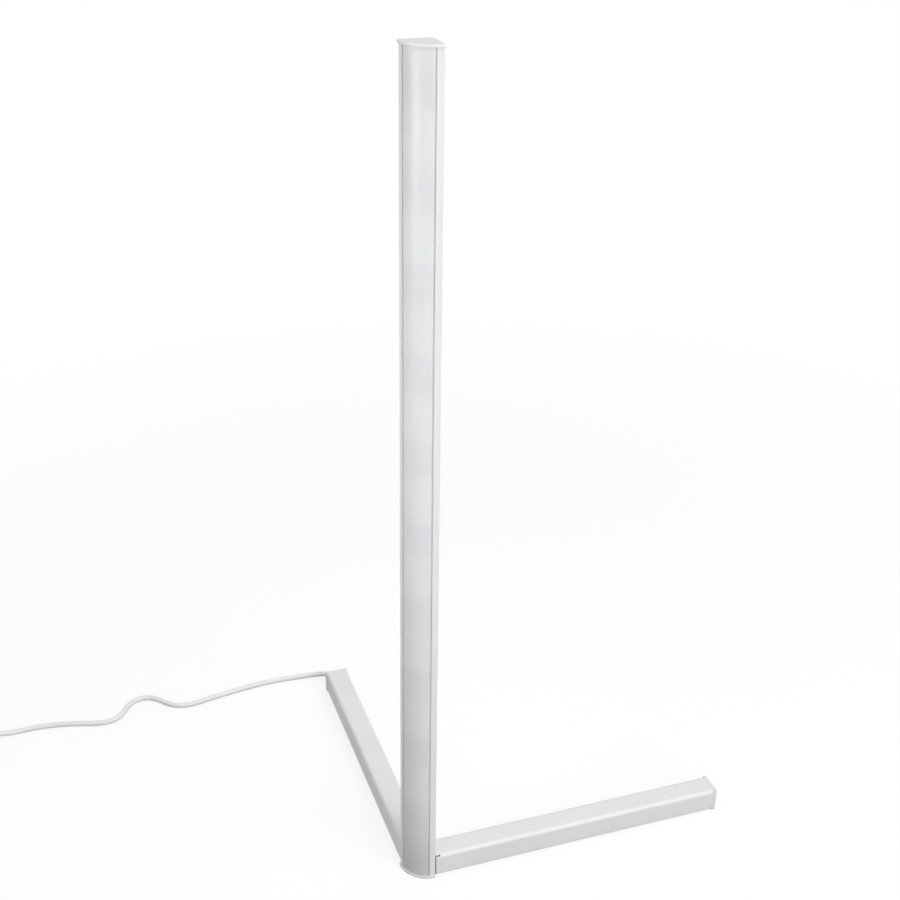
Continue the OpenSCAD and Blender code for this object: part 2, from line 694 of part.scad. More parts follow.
module switch_base() color("white") difference() {
    switch_shell(0, switch_split);
    difference() {
        translate([switch_at.x, switch_at.y, switch_wall])
            linear_extrude(switch_split) switch_outline(switch_wall);
        at_switch_screws() cylinder(r = 3.2, h = switch_split);
    }
    at_switch_screws() translate([0, 0, 1]) screw_hole(1.3, 2.6, 1.4, switch_split);
    at_switch_screws() translate([0, 0, -e]) cylinder(r = 2.65, h = 1 + e);
}

module switch_cover() color("white") difference() {
    union() {
        difference() {
            switch_shell(switch_split, switch_h);
            difference() {
                translate([switch_at.x, switch_at.y, switch_split - 1])
                    linear_extrude(switch_h - switch_split - 1) switch_outline(switch_wall);
                at_switch_screws() cylinder(r = 3.2, h = switch_h);
            }
        }
        for (s = [-1, 1]) translate([switch_at.x - 4, switch_at.y + s * 8.1 - 1, pivot_z - 3.2])
            cube([8, 2, switch_h - pivot_z + 2]);
    }
    translate([switch_at.x - 11.6, switch_at.y - 6.9, switch_split]) cube([23.2, 13.8, switch_h]);
    translate([switch_at.x, switch_at.y + 12, pivot_z])
        rotate([90, 0, 0]) cylinder(r = rocker_pin_r + 0.06, h = 24);
    at_switch_screws() translate([0, 0, switch_split - 1]) cylinder(r = port_hole_r, h = 8);
}

module switch_rocker() color("white")
    translate([switch_at.x, switch_at.y, pivot_z]) rotate([0, -rocker_tilt, 0]) rotate([90, 0, 0]) {
        translate([0, 0, -rocker_w / 2]) linear_extrude(rocker_w) polygon([
            [-10.4, 6.2], [-9.2, -1.5], [-3, -2.6], [3, -2.6], [9.2, -1.5],
            [10.4, 6.2], [5, 4.9], [0, 4.5], [-5, 4.9]
        ]);
        translate([0, 0, -8.9]) cylinder(r = rocker_pin_r, h = 17.8);
    }

module switch_contacts() color("gold") for (s = [-1, 1])
    translate([switch_at.x + s * 9 - 4, switch_at.y - 4, switch_wall]) {
        cube([8, 8, 1]);
        translate([s > 0 ? 0 : 7, 0, 0]) cube([1, 8, 6]);
    }

module switch_screws() color("silver") at_switch_screws() translate([0, 0, 1]) flat_screw(1.2, 2.5, 1.4, 13);

// ---- plug ----

// Turned body, front face at a = 0, with two flats and a slot for a contact in each
module plug_body() color("white") translate([plug_at.x, plug_at.y - plug_len, plug_z]) difference() {
    intersection() {
        rotate([-90, 0, 0]) rotate_extrude($fn = 96) polygon([
            [0, 0], [plug_r - 0.8, 0], [plug_r, 0.8], [plug_r, 14], [plug_r - 2, 20], [10, 32], [7.4, 35],
            [5.6, plug_len], [0, plug_len]
        ]);
        translate([-plug_r - 1, -1, -plug_z]) cube([2 * plug_r + 2, plug_len + 2, 2 * plug_z]);
    }
    for (s = [-1, 1]) translate([s * pin_gap / 2, -e, 0]) rotate([-90, 0, 0])
        cylinder(r = pin_root_r + 0.05, h = pin_root_len + 0.2);
    for (s = [0, 1]) mirror([0, 0, s]) translate([-3.1, -e, plug_z - 1]) cube([6.2, 13, 1 + e]);
}

module plug_pins() color("silver") for (s = [-1, 1])
    translate([plug_at.x + s * pin_gap / 2, plug_at.y - plug_len, plug_z]) rotate([90, 0, 0]) {
        cylinder(r = pin_r, h = pin_len - pin_r);
        translate([0, 0, pin_len - pin_r]) sphere(pin_r);
        translate([0, 0, -pin_root_len]) cylinder(r = pin_root_r, h = pin_root_len + e);
    }

module plug_earth_clips() color("silver") for (s = [0, 1])
    translate([plug_at.x, plug_at.y - plug_len, plug_z]) mirror([0, 0, s])
        translate([-3, 0, plug_z - 1]) cube([6, 12.8, 1]);

column_profile();
diffuser();
led_strip();
led_chips();
top_cap();
bottom_cap();
bottom_cap_screws();
cable_grommet();
bar_right();
bar_left();
end_cap_right();
end_cap_left();
end_cap_screws();
bracket_right();
bracket_left();
bracket_bolts();
bar_screws();
ballast_right();
ballast_left();
ballast_screws();
driver_tray();
driver_lid();
driver_board();
terminal_block();
terminal_screws();
clamp_base();
cord_clamp();
clamp_screws();
earth_tag();
earth_screw();
cord_inlet();
mains_cores();
driver_leads();
lamp_cable();
foot_pads();
strain_relief();
cord_lead();
switch_base();
switch_cover();
switch_rocker();
switch_contacts();
switch_screws();
cord_link();
cord_coil();
cord_tail();
plug_body();
plug_pins();
plug_earth_clips();
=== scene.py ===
"""Corner floor lamp: its finish, its cord and the studio it stands in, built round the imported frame."""

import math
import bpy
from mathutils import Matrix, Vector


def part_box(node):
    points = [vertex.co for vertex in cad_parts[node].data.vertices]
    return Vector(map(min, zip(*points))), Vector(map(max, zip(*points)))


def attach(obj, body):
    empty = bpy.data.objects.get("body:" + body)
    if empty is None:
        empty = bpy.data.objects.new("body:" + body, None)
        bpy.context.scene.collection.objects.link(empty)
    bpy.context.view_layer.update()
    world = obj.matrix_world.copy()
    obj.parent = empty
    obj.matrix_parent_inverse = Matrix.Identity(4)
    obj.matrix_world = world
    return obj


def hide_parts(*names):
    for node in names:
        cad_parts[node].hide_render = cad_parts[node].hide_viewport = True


bl_info = {
    "name": "Corner Floor Lamp",
    "version": (1, 0, 0),
    "blender": (4, 5, 0),
    "location": "3D View > Sidebar > Lamp",
    "description": "Builds a quarter-round light column on an L of two bars, with its cord and studio",
    "category": "Object",
}

import bmesh
import bpy
from bpy.props import FloatProperty, FloatVectorProperty, IntProperty, PointerProperty
from bpy.types import Operator, Panel, PropertyGroup
from mathutils import Matrix, Vector
from mathutils.geometry import convex_hull_2d

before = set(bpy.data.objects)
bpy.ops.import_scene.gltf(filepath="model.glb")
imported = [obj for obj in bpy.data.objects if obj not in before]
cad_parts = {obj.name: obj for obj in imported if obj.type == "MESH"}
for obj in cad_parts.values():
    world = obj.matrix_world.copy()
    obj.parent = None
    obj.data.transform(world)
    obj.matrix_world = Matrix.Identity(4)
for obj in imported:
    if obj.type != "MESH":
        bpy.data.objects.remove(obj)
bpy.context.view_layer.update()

MM = 0.001
CORNER = Vector(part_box("column_profile")[1])   # the column's square corner, at its top
COLUMN_R = CORNER.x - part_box("column_profile")[0][0]

PER_TURN = 16                # points on each turn of the coil
CREASE = math.radians(50)    # edges sharper than this stay sharp when a piece is shaded smooth
# The cord's free stretches, as the part's source has them: x, y and how high the cord is lifted off the floor
LEAD_ROUTE = [
    (-0.222, 0.248, 0.0026), (-0.237, 0.252, 0.0008), (-0.253, 0.2542, 0), (-0.269, 0.255, 0),
    (-0.285, 0.2553, 0), (-0.302, 0.2547, 0), (-0.319, 0.2532, 0), (-0.335, 0.2512, 0),
    (-0.351, 0.2487, 0), (-0.367, 0.2461, 0), (-0.382, 0.2435, 0), (-0.397, 0.2403, 0),
    (-0.412, 0.2373, 0), (-0.4275, 0.237, 0), (-0.442, 0.2416, 0), (-0.4545, 0.252, 0),
    (-0.4655, 0.264, 0), (-0.478, 0.272, 0), (-0.4935, 0.272, 0), (-0.5065, 0.263, 0),
    (-0.5165, 0.2485, 0), (-0.5275, 0.237, 0), (-0.5425, 0.2325, 0), (-0.558, 0.234, 0),
    (-0.5735, 0.2383, 0), (-0.589, 0.2427, 0), (-0.604, 0.2463, 0), (-0.62, 0.2491, 0),
    (-0.6355, 0.2505, 0), (-0.651, 0.2507, 0), (-0.667, 0.2498, 0.0002), (-0.683, 0.2487, 0.0015),
    (-0.696, 0.248, 0.004),
]
LINK_ROUTE = [
    (-0.7935, 0.2453, 0.0036), (-0.8047, 0.2377, 0.0014), (-0.8123, 0.2264, 0.0002), (-0.815, 0.213, 0),
    (-0.815, 0.198, 0), (-0.815, 0.184, 0),
]
TAIL_ROUTE = [
    (-0.815, 0.138, 0.0056), (-0.815, 0.124, 0.0022), (-0.815, 0.11, 0.0002), (-0.815, 0.098, 0.001),
    (-0.815, 0.085, 0.0048), (-0.815, 0.073, 0.01),
]


def linear(colour):
    """An sRGB hex colour as the linear RGB that Blender's sockets hold."""
    parts = [int(colour[i : i + 2], 16) / 255 for i in (0, 2, 4)]
    return tuple(p / 12.92 if p <= 0.04045 else ((p + 0.055) / 1.055) ** 2.4 for p in parts)


def length(name, description, default):
    return FloatProperty(name=name, description=description, default=default, unit="LENGTH", precision=5)


def colour(name, description, default):
    return FloatVectorProperty(
        name=name, description=description, default=linear(default), subtype="COLOR", min=0, max=1
    )


class LampSizes(PropertyGroup):
    cord_diameter: length("Cord diameter", "Outer diameter of the mains cord", 7.5 * MM)
    boot_bend: length("Boot bend", "Radius on which the strain relief leads the cord round", 32 * MM)
    boot_flange: length("Boot flange", "Thickness of the strain relief's flange on the end cap", 4 * MM)
    boot_angle: FloatProperty(
        name="Boot angle", description="Angle through which the strain relief bends",
        default=math.radians(50), subtype="ANGLE",
    )
    boot_rings: IntProperty(name="Boot rings", description="Rings on the strain relief", default=7, min=3)
    coil_radius: length("Coil radius", "Outer radius of the coil, along the cord's axis", 50 * MM)
    coil_gap: length("Coil gap", "Air between neighbouring turns", 0.6 * MM)
    layer_turns: FloatProperty(
        name="Layer turns", description="Turns in each of the coil's two layers", default=2.5
    )
    tie_wire: length("Tie wire", "Thickness of the coil's tie over its wire", 0.9 * MM)
    tie_width: length("Tie width", "Width of the coil's tie", 3.6 * MM)
    tie_tail: length("Tie tail", "Length of the tie's twisted ends", 10 * MM)
    lip_angle: FloatProperty(
        name="Lip angle", description="Arc that each lip of the column covers",
        default=math.radians(12.5), subtype="ANGLE",
    )
    opal_thickness: length("Opal thickness", "Thickness of the opal front", 1.6 * MM)
    strip_segment: length("Strip segment", "Length of one segment of the light strip", 100 * MM)


class LampColours(PropertyGroup):
    powder: colour("Powder coat", "White powder coat on the column and the bars", "e9e8e7")
    opal: colour("Opal front", "Opal acrylic where a light chip lies behind it", "e4e4e6")
    opal_dip: colour("Opal front, dip", "Opal acrylic between two segments of the light strip", "dfdfe2")
    moulding: colour("Mouldings", "White ABS of the caps", "e9e8e8")
    sheath: colour("Cord sheath", "White PVC of the cord", "f1f2f6")
    switch: colour("Switch and plug", "White PVC of the switch and the plug", "ecebe9")
    floor: colour("Floor", "Pale floor under the lamp", "7e7e7e")


class LampView(PropertyGroup):
    place: FloatVectorProperty(
        name="Place", description="Where the camera stands", default=(-0.612454, -1.463256, 1.290132),
        subtype="TRANSLATION", unit="LENGTH",
    )
    heading: FloatProperty(
        name="Heading", description="Direction of view, counted from +X towards +Y",
        default=math.radians(70.608), subtype="ANGLE",
    )
    dip: FloatProperty(
        name="Dip", description="How far the camera looks down", default=math.radians(27.064), subtype="ANGLE"
    )
    roll: FloatProperty(
        name="Roll", description="How far the camera leans", default=math.radians(0.903), subtype="ANGLE"
    )
    lens: FloatProperty(name="Lens", description="Focal length on a 36 mm sensor, in mm", default=55.279)


# ---- nodes and materials ----


def put(tree, kind, inputs=None, **settings):
    """Adds a node with its settings, and fills its inputs with values or with other nodes' outputs."""
    node = tree.nodes.new(kind)
    for key, value in settings.items():
        setattr(node, key, value)
    for key, value in (inputs or {}).items():
        if isinstance(value, bpy.types.NodeSocket):
            tree.links.new(value, node.inputs[key])
        elif isinstance(value, bpy.types.Node):
            tree.links.new(value.outputs[0], node.inputs[key])
        else:
            node.inputs[key].default_value = value
    return node


def calc(tree, operation, *values):
    """Adds a Math node."""
    return put(tree, "ShaderNodeMath", dict(enumerate(values)), operation=operation)


def calc_vector(tree, operation, *values):
    """Adds a Vector Math node."""
    return put(tree, "ShaderNodeVectorMath", dict(enumerate(values)), operation=operation)


def scaled(tree, vector, factor):
    """Adds a Vector Math node that scales a vector."""
    return put(tree, "ShaderNodeVectorMath", {0: vector, "Scale": factor}, operation="SCALE")


def ramp(tree, value, start=0.0, end=1.0, low=0.0, high=1.0, kind="LINEAR"):
    """Adds a Map Range node, which goes from low to high while its value goes from start to end."""
    inputs = {"Value": value, "From Min": start, "From Max": end, "To Min": low, "To Max": high}
    return put(tree, "ShaderNodeMapRange", inputs, interpolation_type=kind)


def blend(tree, share, low, high):
    """The output of a node that mixes two colours, each given as RGB or as a socket."""
    low, high = (c if isinstance(c, bpy.types.NodeSocket) else (*c, 1) for c in (low, high))
    return put(tree, "ShaderNodeMix", {0: share, 6: low, 7: high}, data_type="RGBA").outputs[2]


def height_of(tree, where):
    """The height of a place, as a socket."""
    return put(tree, "ShaderNodeSeparateXYZ", {"Vector": where}).outputs["Z"]


def shown_rays(tree):
    """1 for the rays that show something, directly, mirrored or through glass, and 0 for all the others."""
    rays = put(tree, "ShaderNodeLightPath").outputs
    seen = calc(tree, "MAXIMUM", rays["Is Camera Ray"], rays["Is Glossy Ray"])
    return calc(tree, "MAXIMUM", seen, rays["Is Transmission Ray"])


def surface(name, base, roughness, **sockets):
    """A new material, its node tree, its Principled shader and the Object coordinates."""
    material = bpy.data.materials.new(name)
    material.use_nodes = True
    tree = material.node_tree
    shader = tree.nodes["Principled BSDF"]
    values = {"Base Color": (*base, 1), "Roughness": roughness, **sockets}
    for key, value in values.items():
        shader.inputs[key.replace("_", " ")].default_value = value
    return material, tree, shader, put(tree, "ShaderNodeTexCoord").outputs["Object"]


def grain(tree, shader, where, size, depth, detail=2.0):
    """Bumps of one size and depth, in metres, for textures that the light shows but the colour doesn't."""
    noise = put(tree, "ShaderNodeTexNoise", {"Vector": where, "Scale": 1 / size, "Detail": detail})
    bump = put(tree, "ShaderNodeBump", {"Height": noise, "Strength": 1.0, "Distance": depth})
    tree.links.new(bump.outputs["Normal"], shader.inputs["Normal"])


def mottle(tree, shader, where, size, low, high, roughness=None):
    """Colour, and if asked roughness, that drifts between two values over patches of one size."""
    noise = put(tree, "ShaderNodeTexNoise", {"Vector": where, "Scale": 1 / size, "Detail": 3.0})
    spread = ramp(tree, noise, 0.35, 0.65)
    tree.links.new(blend(tree, spread, low, high), shader.inputs["Base Color"])
    if roughness:
        rough = ramp(tree, spread, low=roughness[0], high=roughness[1])
        tree.links.new(rough.outputs[0], shader.inputs["Roughness"])


def shade(base, factor):
    return tuple(c * factor for c in base)


def mottled(name, base, roughness, bumps, patches, tones, drift, **sockets):
    """A finish, in mm: bumps of a size and depth, and patches over which its tone and roughness drift."""
    material, tree, shader, where = surface(name, base, roughness, **sockets)
    if bumps:
        size, depth, *detail = bumps
        grain(tree, shader, where, size * MM, depth * MM, *detail)
    mottle(tree, shader, where, patches * MM, *tones, drift)
    return material


def powder_coated_aluminium(base):
    # Extruded aluminium under satin polyester powder: a faint orange peel 1.5 mm across breaks up the gloss
    tones = shade(base, 0.975), base
    return mottled(
        "powder_coated_aluminium", base, 0.42, (1.5, 0.02), 60, tones, (0.38, 0.46), Coat_Weight=0.06
    )


def moulded_plastic(name, base, rough=0.4):
    # Injection-moulded with a fine spark-eroded skin, drawn at 0.7 mm so that it shows
    tones, drift = (shade(base, 0.97), base), (rough - 0.04, rough + 0.05)
    return mottled(name, base, rough, (0.7, 0.012), 25, tones, drift, IOR=1.54)


def pvc_sheath(base):
    # Extruded PVC cable sheath: smooth and slightly soft, with the faint lay of its cores along the cord
    tones = shade(base, 0.96), base
    return mottled(
        "white_pvc_sheath", base, 0.36, (4, 0.05, 1.0), 30, tones, (0.32, 0.42), IOR=1.53, Sheen_Weight=0.05
    )


def zinc_plated_steel():
    # Turned steel with bright zinc: thin tarnish patches under a silver blue
    base = linear("c3c7cb")
    tones = linear("adb2b8"), base
    return mottled("zinc_plated_steel", base, 0.3, (0.5, 0.01), 3, tones, (0.24, 0.38), Metallic=1.0)


def hot_rolled_steel():
    # Ballast bar as rolled: blue-grey mill scale with lighter scuffs and a light film of oil
    base = linear("7b7f86")
    tones = linear("4c4f57"), base
    return mottled("hot_rolled_steel", base, 0.5, (1.2, 0.05, 6.0), 12, tones, (0.38, 0.62), Metallic=0.9)


def black_coated_casting():
    # Die-cast brackets, shot-blasted and dip-coated black; their black flange in the seam to the column is
    # partly painted shade, drawing the seam as dark as its shadow
    base = linear("2b2b2d")
    tones = linear("222224"), base
    return mottled("black_coated_casting", base, 0.5, (0.6, 0.04, 4.0), 9, tones, (0.44, 0.58))


def black_rubber():
    # Moulded EPDM: dull black with a dusty bloom
    tones = linear("242426"), linear("3a3a3b")
    return mottled("black_rubber", linear("2f2f31"), 0.78, (0.8, 0.03), 6, tones, (0.7, 0.86), IOR=1.52)


def led_phosphor():
    # Silicone gel filled with yellow grains, smooth outside
    base = linear("ecd75a")
    tones = linear("dcc143"), base
    return mottled("led_phosphor", base, 0.3, None, 0.3, tones, (0.25, 0.4), IOR=1.41)


def green_circuit_board():
    # Glass-fibre board with green solder mask over copper tracks
    base = linear("2f6f4c")
    tones = linear("235a3c"), base
    return mottled("green_circuit_board", base, 0.35, (0.9, 0.02), 4, tones, (0.28, 0.45))


def plain_brass():
    # Stamped brass: warm and bright, with dull handling patches
    base = linear("cfae5c")
    tones = linear("b3923f"), base
    return mottled("plain_brass", base, 0.28, (0.5, 0.01), 2.5, tones, (0.22, 0.4), Metallic=1.0)


def opal_acrylic(light, dip, segment):
    # Extruded satin opal PMMA: each segment of the light strip shows as a soft band, dark at its joints
    material, tree, shader, where = surface(
        "opal_acrylic", light, 0.34, IOR=1.49, Subsurface_Weight=0.25, Subsurface_Scale=1.5 * MM
    )
    height = height_of(tree, where)
    wave = calc(tree, "COSINE", calc(tree, "MULTIPLY", height, math.tau / segment))
    band = ramp(tree, wave, start=-0.6, kind="SMOOTHSTEP")
    # Painted shade: over its lowest 120 mm the front is drawn darker towards the floor, where it lies in
    # shade
    fade, foot = 120 * MM, shade(dip, 0.83)
    above = ramp(tree, height, end=fade, kind="SMOOTHSTEP")
    shown = blend(tree, above, foot, blend(tree, band, light, dip))
    tree.links.new(shown, shader.inputs["Base Color"])
    grain(tree, shader, where, 0.8 * MM, 0.006 * MM, 1.0)
    return material


def white_circuit_board(segment):
    # Flexible board with white solder mask, and a band of copper pads at every second cut mark
    base, copper = linear("eeede6"), linear("c98f52")
    material, tree, shader, where = surface("white_circuit_board", base, 0.38)
    first_mark, half_pad = 20 * MM, 1.5 * MM
    place = calc(tree, "SUBTRACT", height_of(tree, where), first_mark)
    pad = calc(tree, "LESS_THAN", calc(tree, "PINGPONG", place, segment), half_pad)
    tree.links.new(blend(tree, pad, base, copper), shader.inputs["Base Color"])
    grain(tree, shader, where, 1.5 * MM, 0.01 * MM)
    return material


def nickel_plated_brass():
    # Pins with satin nickel, drawn lengthwise
    base = linear("cdcbc4")
    material, tree, shader, where = surface("nickel_plated_brass", base, 0.26, Metallic=1.0)
    drawn = put(tree, "ShaderNodeMapping", {"Vector": where, "Scale": (1.0, 0.06, 1.0)})
    grain(tree, shader, drawn.outputs["Vector"], 0.35 * MM, 0.01 * MM)
    mottle(tree, shader, where, 5 * MM, linear("b9b7b0"), base, (0.2, 0.34))
    return material


def core_insulation(name, base, stripe=None):
    # PVC insulation of a single core, with the second colour of an earth core as a stripe
    material, tree, shader, where = surface(name, base, 0.4)
    grain(tree, shader, where, 0.6 * MM, 0.01 * MM)
    if stripe:
        width = 0.6 * MM
        side = calc(tree, "LESS_THAN", calc(tree, "PINGPONG", height_of(tree, where), width), width / 2)
        tree.links.new(blend(tree, side, base, stripe), shader.inputs["Base Color"])
    else:
        mottle(tree, shader, where, 4 * MM, shade(base, 0.85), base)
    return material


MATERIALS = {}


class LAMP_OT_finishes(Operator):
    """Mixes the finishes that the pieces are given"""

    bl_idname = "lamp.finishes"
    bl_label = "Finishes"

    def execute(self, context):
        colours, segment = context.scene.lamp_colours, context.scene.lamp_sizes.strip_segment
        MATERIALS.update(
            powder=powder_coated_aluminium(tuple(colours.powder)),
            opal=opal_acrylic(tuple(colours.opal), tuple(colours.opal_dip), segment),
            moulding=moulded_plastic("moulded_abs_caps", tuple(colours.moulding)),
            switch=moulded_plastic("moulded_pvc_switch", tuple(colours.switch), 0.34),
            supply=moulded_plastic("moulded_polycarbonate", linear("eae9e6"), 0.42),
            sheath=pvc_sheath(tuple(colours.sheath)),
            zinc=zinc_plated_steel(),
            ballast=hot_rolled_steel(),
            casting=black_coated_casting(),
            rubber=black_rubber(),
            strip=white_circuit_board(segment),
            package=moulded_plastic("led_package", linear("f0efe9"), 0.3),
            phosphor=led_phosphor(),
            board=green_circuit_board(),
            brass=plain_brass(),
            nickel=nickel_plated_brass(),
            live=core_insulation("core_insulation_brown", linear("6b3f22")),
            neutral=core_insulation("core_insulation_blue", linear("3f6fa8")),
            earth=core_insulation("core_insulation_earth", linear("3f8a3c"), linear("d9c53a")),
        )
        return {"FINISHED"}


# ---- pieces ----


def add_piece(name, data, material=None):
    piece = bpy.data.objects.new(name, data)
    bpy.context.scene.collection.objects.link(piece)
    if material:
        data.materials.clear()
        data.materials.append(material)
    return piece


def stands_for(piece, slot, *nodes, body="lamp"):
    """Hangs a piece on the body that it rides on, and hides the CAD nodes that it is shown for; the slot,
    which names its finish, is not used.
    """
    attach(piece, body)
    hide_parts(*nodes)


def merged(node):
    """A bmesh of a CAD node with its doubled points merged and its flat faces joined."""
    bm = bmesh.new()
    bm.from_mesh(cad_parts[node].data)
    bmesh.ops.remove_doubles(bm, verts=bm.verts, dist=1e-6)
    bmesh.ops.dissolve_limit(
        bm, angle_limit=math.radians(0.3), verts=bm.verts, edges=bm.edges, use_dissolve_boundaries=False
    )
    bmesh.ops.recalc_face_normals(bm, faces=bm.faces)
    return bm


def roomy(edge, width):
    """Whether an edge's neighbours leave room to round it over."""
    return all(e.calc_length() > 2.2 * width for v in edge.verts for e in v.link_edges if not e.tag)


def level(edge, height):
    """Whether an edge lies at a height."""
    return all(abs(vert.co.z - height) < 0.02 * MM for vert in edge.verts)


def round_over(bm, width, segments=3, sharp=35, fits=None):
    """Rounds over those edges of a bmesh that are sharper than an angle, fit a test and leave room for it.
    The clamp narrows them all to what the tightest spot allows."""
    for edge in bm.edges:
        edge.tag = len(edge.link_faces) == 2 and edge.calc_face_angle(0) > math.radians(sharp)
    chosen = [e for e in bm.edges if e.tag and (fits is None or fits(e)) and roomy(e, width)]
    if chosen:
        bmesh.ops.bevel(
            bm, geom=chosen, offset=width, segments=segments, profile=0.5, affect="EDGES", clamp_overlap=True
        )


def smoothed(bm, name, material):
    """A smooth piece made from a bmesh: between sharp edges, its normals lean towards the larger faces."""
    for edge in bm.edges:
        edge.smooth = len(edge.link_faces) == 2 and edge.calc_face_angle(0) < CREASE
    weights = {face: face.normal * face.calc_area() for face in bm.faces}
    normals = {}
    for vert in bm.verts:
        left = list(vert.link_faces)
        while left:
            fan = [left.pop()]
            for face in fan:
                for edge in face.edges:
                    if edge.smooth and vert in edge.verts:
                        joined = [other for other in edge.link_faces if other in left]
                        left = [other for other in left if other not in joined]
                        fan += joined
            middle = sum((weights[face] for face in fan), Vector()).normalized()
            for face in fan:
                normals[face, vert] = middle
    mesh = bpy.data.meshes.new(name)
    bm.to_mesh(mesh)
    mesh.shade_smooth()
    mesh.normals_split_custom_set([normals[face, loop.vert] for face in bm.faces for loop in face.loops])
    bm.free()
    return add_piece(name, mesh, material)


def rounded(node, name, width, finish, slot, body="lamp"):
    """Shows a CAD node as a copy with its sharp edges rounded over, so that they catch the light.
    The clamp leaves about 0.035 mm of the width on the column's extrusion, and under 0.01 mm on the bars
    and their end caps, whose edges stay those of the frame."""
    bm = merged(node)
    round_over(bm, width)
    stands_for(smoothed(bm, name, MATERIALS[finish]), slot, node, body=body)


def creased(bm, name, angle, *materials):
    """A piece made from a bmesh, smooth but for the edges that are sharper than an angle."""
    mesh = bpy.data.meshes.new(name)
    bm.to_mesh(mesh)
    bm.free()
    for material in materials:
        mesh.materials.append(material)
    mesh.shade_smooth()
    mesh.set_sharp_from_angle(angle=angle)
    return add_piece(name, mesh)


def middle_of(node):
    low, high = (Vector(corner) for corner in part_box(node))
    return (low + high) / 2


def loose_parts(bm):
    """The vertices of each loose part of a bmesh, from the lowest x, y and z on."""
    left, parts = set(bm.verts), []
    while left:
        part = [left.pop()]
        for vert in part:
            for edge in vert.link_edges:
                other = edge.other_vert(vert)
                if other in left:
                    left.discard(other)
                    part.append(other)
        parts.append(part)
    return sorted(parts, key=lambda part: [min(v.co[i] for v in part) for i in range(3)])


def islands(node):
    """The lowest and highest corners of each loose part of a CAD node."""
    bm = merged(node)
    found = []
    for part in loose_parts(bm):
        spans = [[v.co[i] for v in part] for i in range(3)]
        found.append((Vector([min(s) for s in spans]), Vector([max(s) for s in spans])))
    bm.free()
    return found


def geometry_tree(name, **kinds):
    """A new geometry tree with the named inputs, its Group Input and its Group Output."""
    tree = bpy.data.node_groups.new(name, "GeometryNodeTree")
    tree.interface.new_socket("Geometry", in_out="OUTPUT", socket_type="NodeSocketGeometry")
    for title, kind in kinds.items():
        tree.interface.new_socket(title.replace("_", " "), in_out="INPUT", socket_type="NodeSocket" + kind)
    return tree, put(tree, "NodeGroupInput").outputs, put(tree, "NodeGroupOutput")


def grown(name, tree, points=None, **values):
    """Runs a geometry tree on a new object, and returns it as a plain mesh."""
    start = bpy.data.meshes.new(name)
    start.from_pydata(points or [], [], [])
    piece = add_piece(name, start)
    modifier = piece.modifiers.new("grown", "NODES")
    modifier.node_group = tree
    sockets = {s.name: s.identifier for s in tree.interface.items_tree if s.in_out == "INPUT"}
    for title, value in values.items():
        modifier[sockets[title.replace("_", " ")]] = value
    graph = bpy.context.evaluated_depsgraph_get()
    mesh = bpy.data.meshes.new_from_object(piece.evaluated_get(graph), depsgraph=graph)
    if not mesh.polygons:
        raise RuntimeError(f"{name}: its geometry tree made no faces")
    piece.modifiers.clear()
    piece.data = mesh
    bpy.data.meshes.remove(start)
    mesh.name = name
    return piece


def finish_mesh(tree, out, mesh, material):
    """Ends a geometry tree: merged, shaded smooth between sharp edges, realised and given its material."""
    joined = put(tree, "GeometryNodeMergeByDistance", {"Geometry": mesh, "Distance": 1e-6})
    shading = "GeometryNodeSetShadeSmooth"
    smooth = put(tree, shading, {"Geometry": joined, "Shade Smooth": True}, domain="FACE")
    angle = put(tree, "GeometryNodeInputMeshEdgeAngle").outputs["Unsigned Angle"]
    sharp = put(tree, "FunctionNodeCompare", {"A": angle, "B": CREASE}, operation="GREATER_THAN")
    edged = put(
        tree, shading, {"Geometry": smooth, "Selection": sharp, "Shade Smooth": False}, domain="EDGE"
    )
    real = put(tree, "GeometryNodeRealizeInstances", {"Geometry": edged})
    last = put(tree, "GeometryNodeSetMaterial", {"Geometry": real, "Material": material})
    tree.links.new(last.outputs[0], out.inputs["Geometry"])


def facing_back(tree, axis):
    """Selects the faces whose normal points against an axis."""
    normal = put(tree, "ShaderNodeSeparateXYZ", {"Vector": put(tree, "GeometryNodeInputNormal")})
    return put(tree, "FunctionNodeCompare", {"A": normal.outputs[axis], "B": -0.5}, operation="LESS_THAN")


# ---- cord ----


def on_floor(route, radius):
    return [Vector((x, y, radius + lift)) for x, y, lift in route]


def cord_curve(name, points, diameter, material):
    """A round cord through the points, as one smooth open spline."""
    curve = bpy.data.curves.new(name, "CURVE")
    curve.dimensions = "3D"
    curve.resolution_u = 4
    curve.bevel_depth = diameter / 2
    curve.bevel_resolution = 5
    curve.use_fill_caps = True
    spline = curve.splines.new("BEZIER")
    spline.bezier_points.add(len(points) - 1)
    for point, at in zip(spline.bezier_points, points):
        point.co = at
        point.handle_left_type = point.handle_right_type = "AUTO"
    return add_piece(name, curve, material)


def boot_point(sizes, along):
    """A point on the strain relief's axis, so far from the end cap's face."""
    inlet = middle_of("cord_inlet")
    start = Vector((inlet.x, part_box("end_cap_left")[1][1] + sizes.boot_flange, inlet.z))
    past = along - sizes.boot_flange
    if past <= 0:
        return start + Vector((0, past, 0))
    turn, bend = past / sizes.boot_bend, sizes.boot_bend
    return start + Vector((bend * (math.cos(turn) - 1), bend * math.sin(turn), 0))


def boot_length(sizes):
    return sizes.boot_flange + sizes.boot_bend * sizes.boot_angle


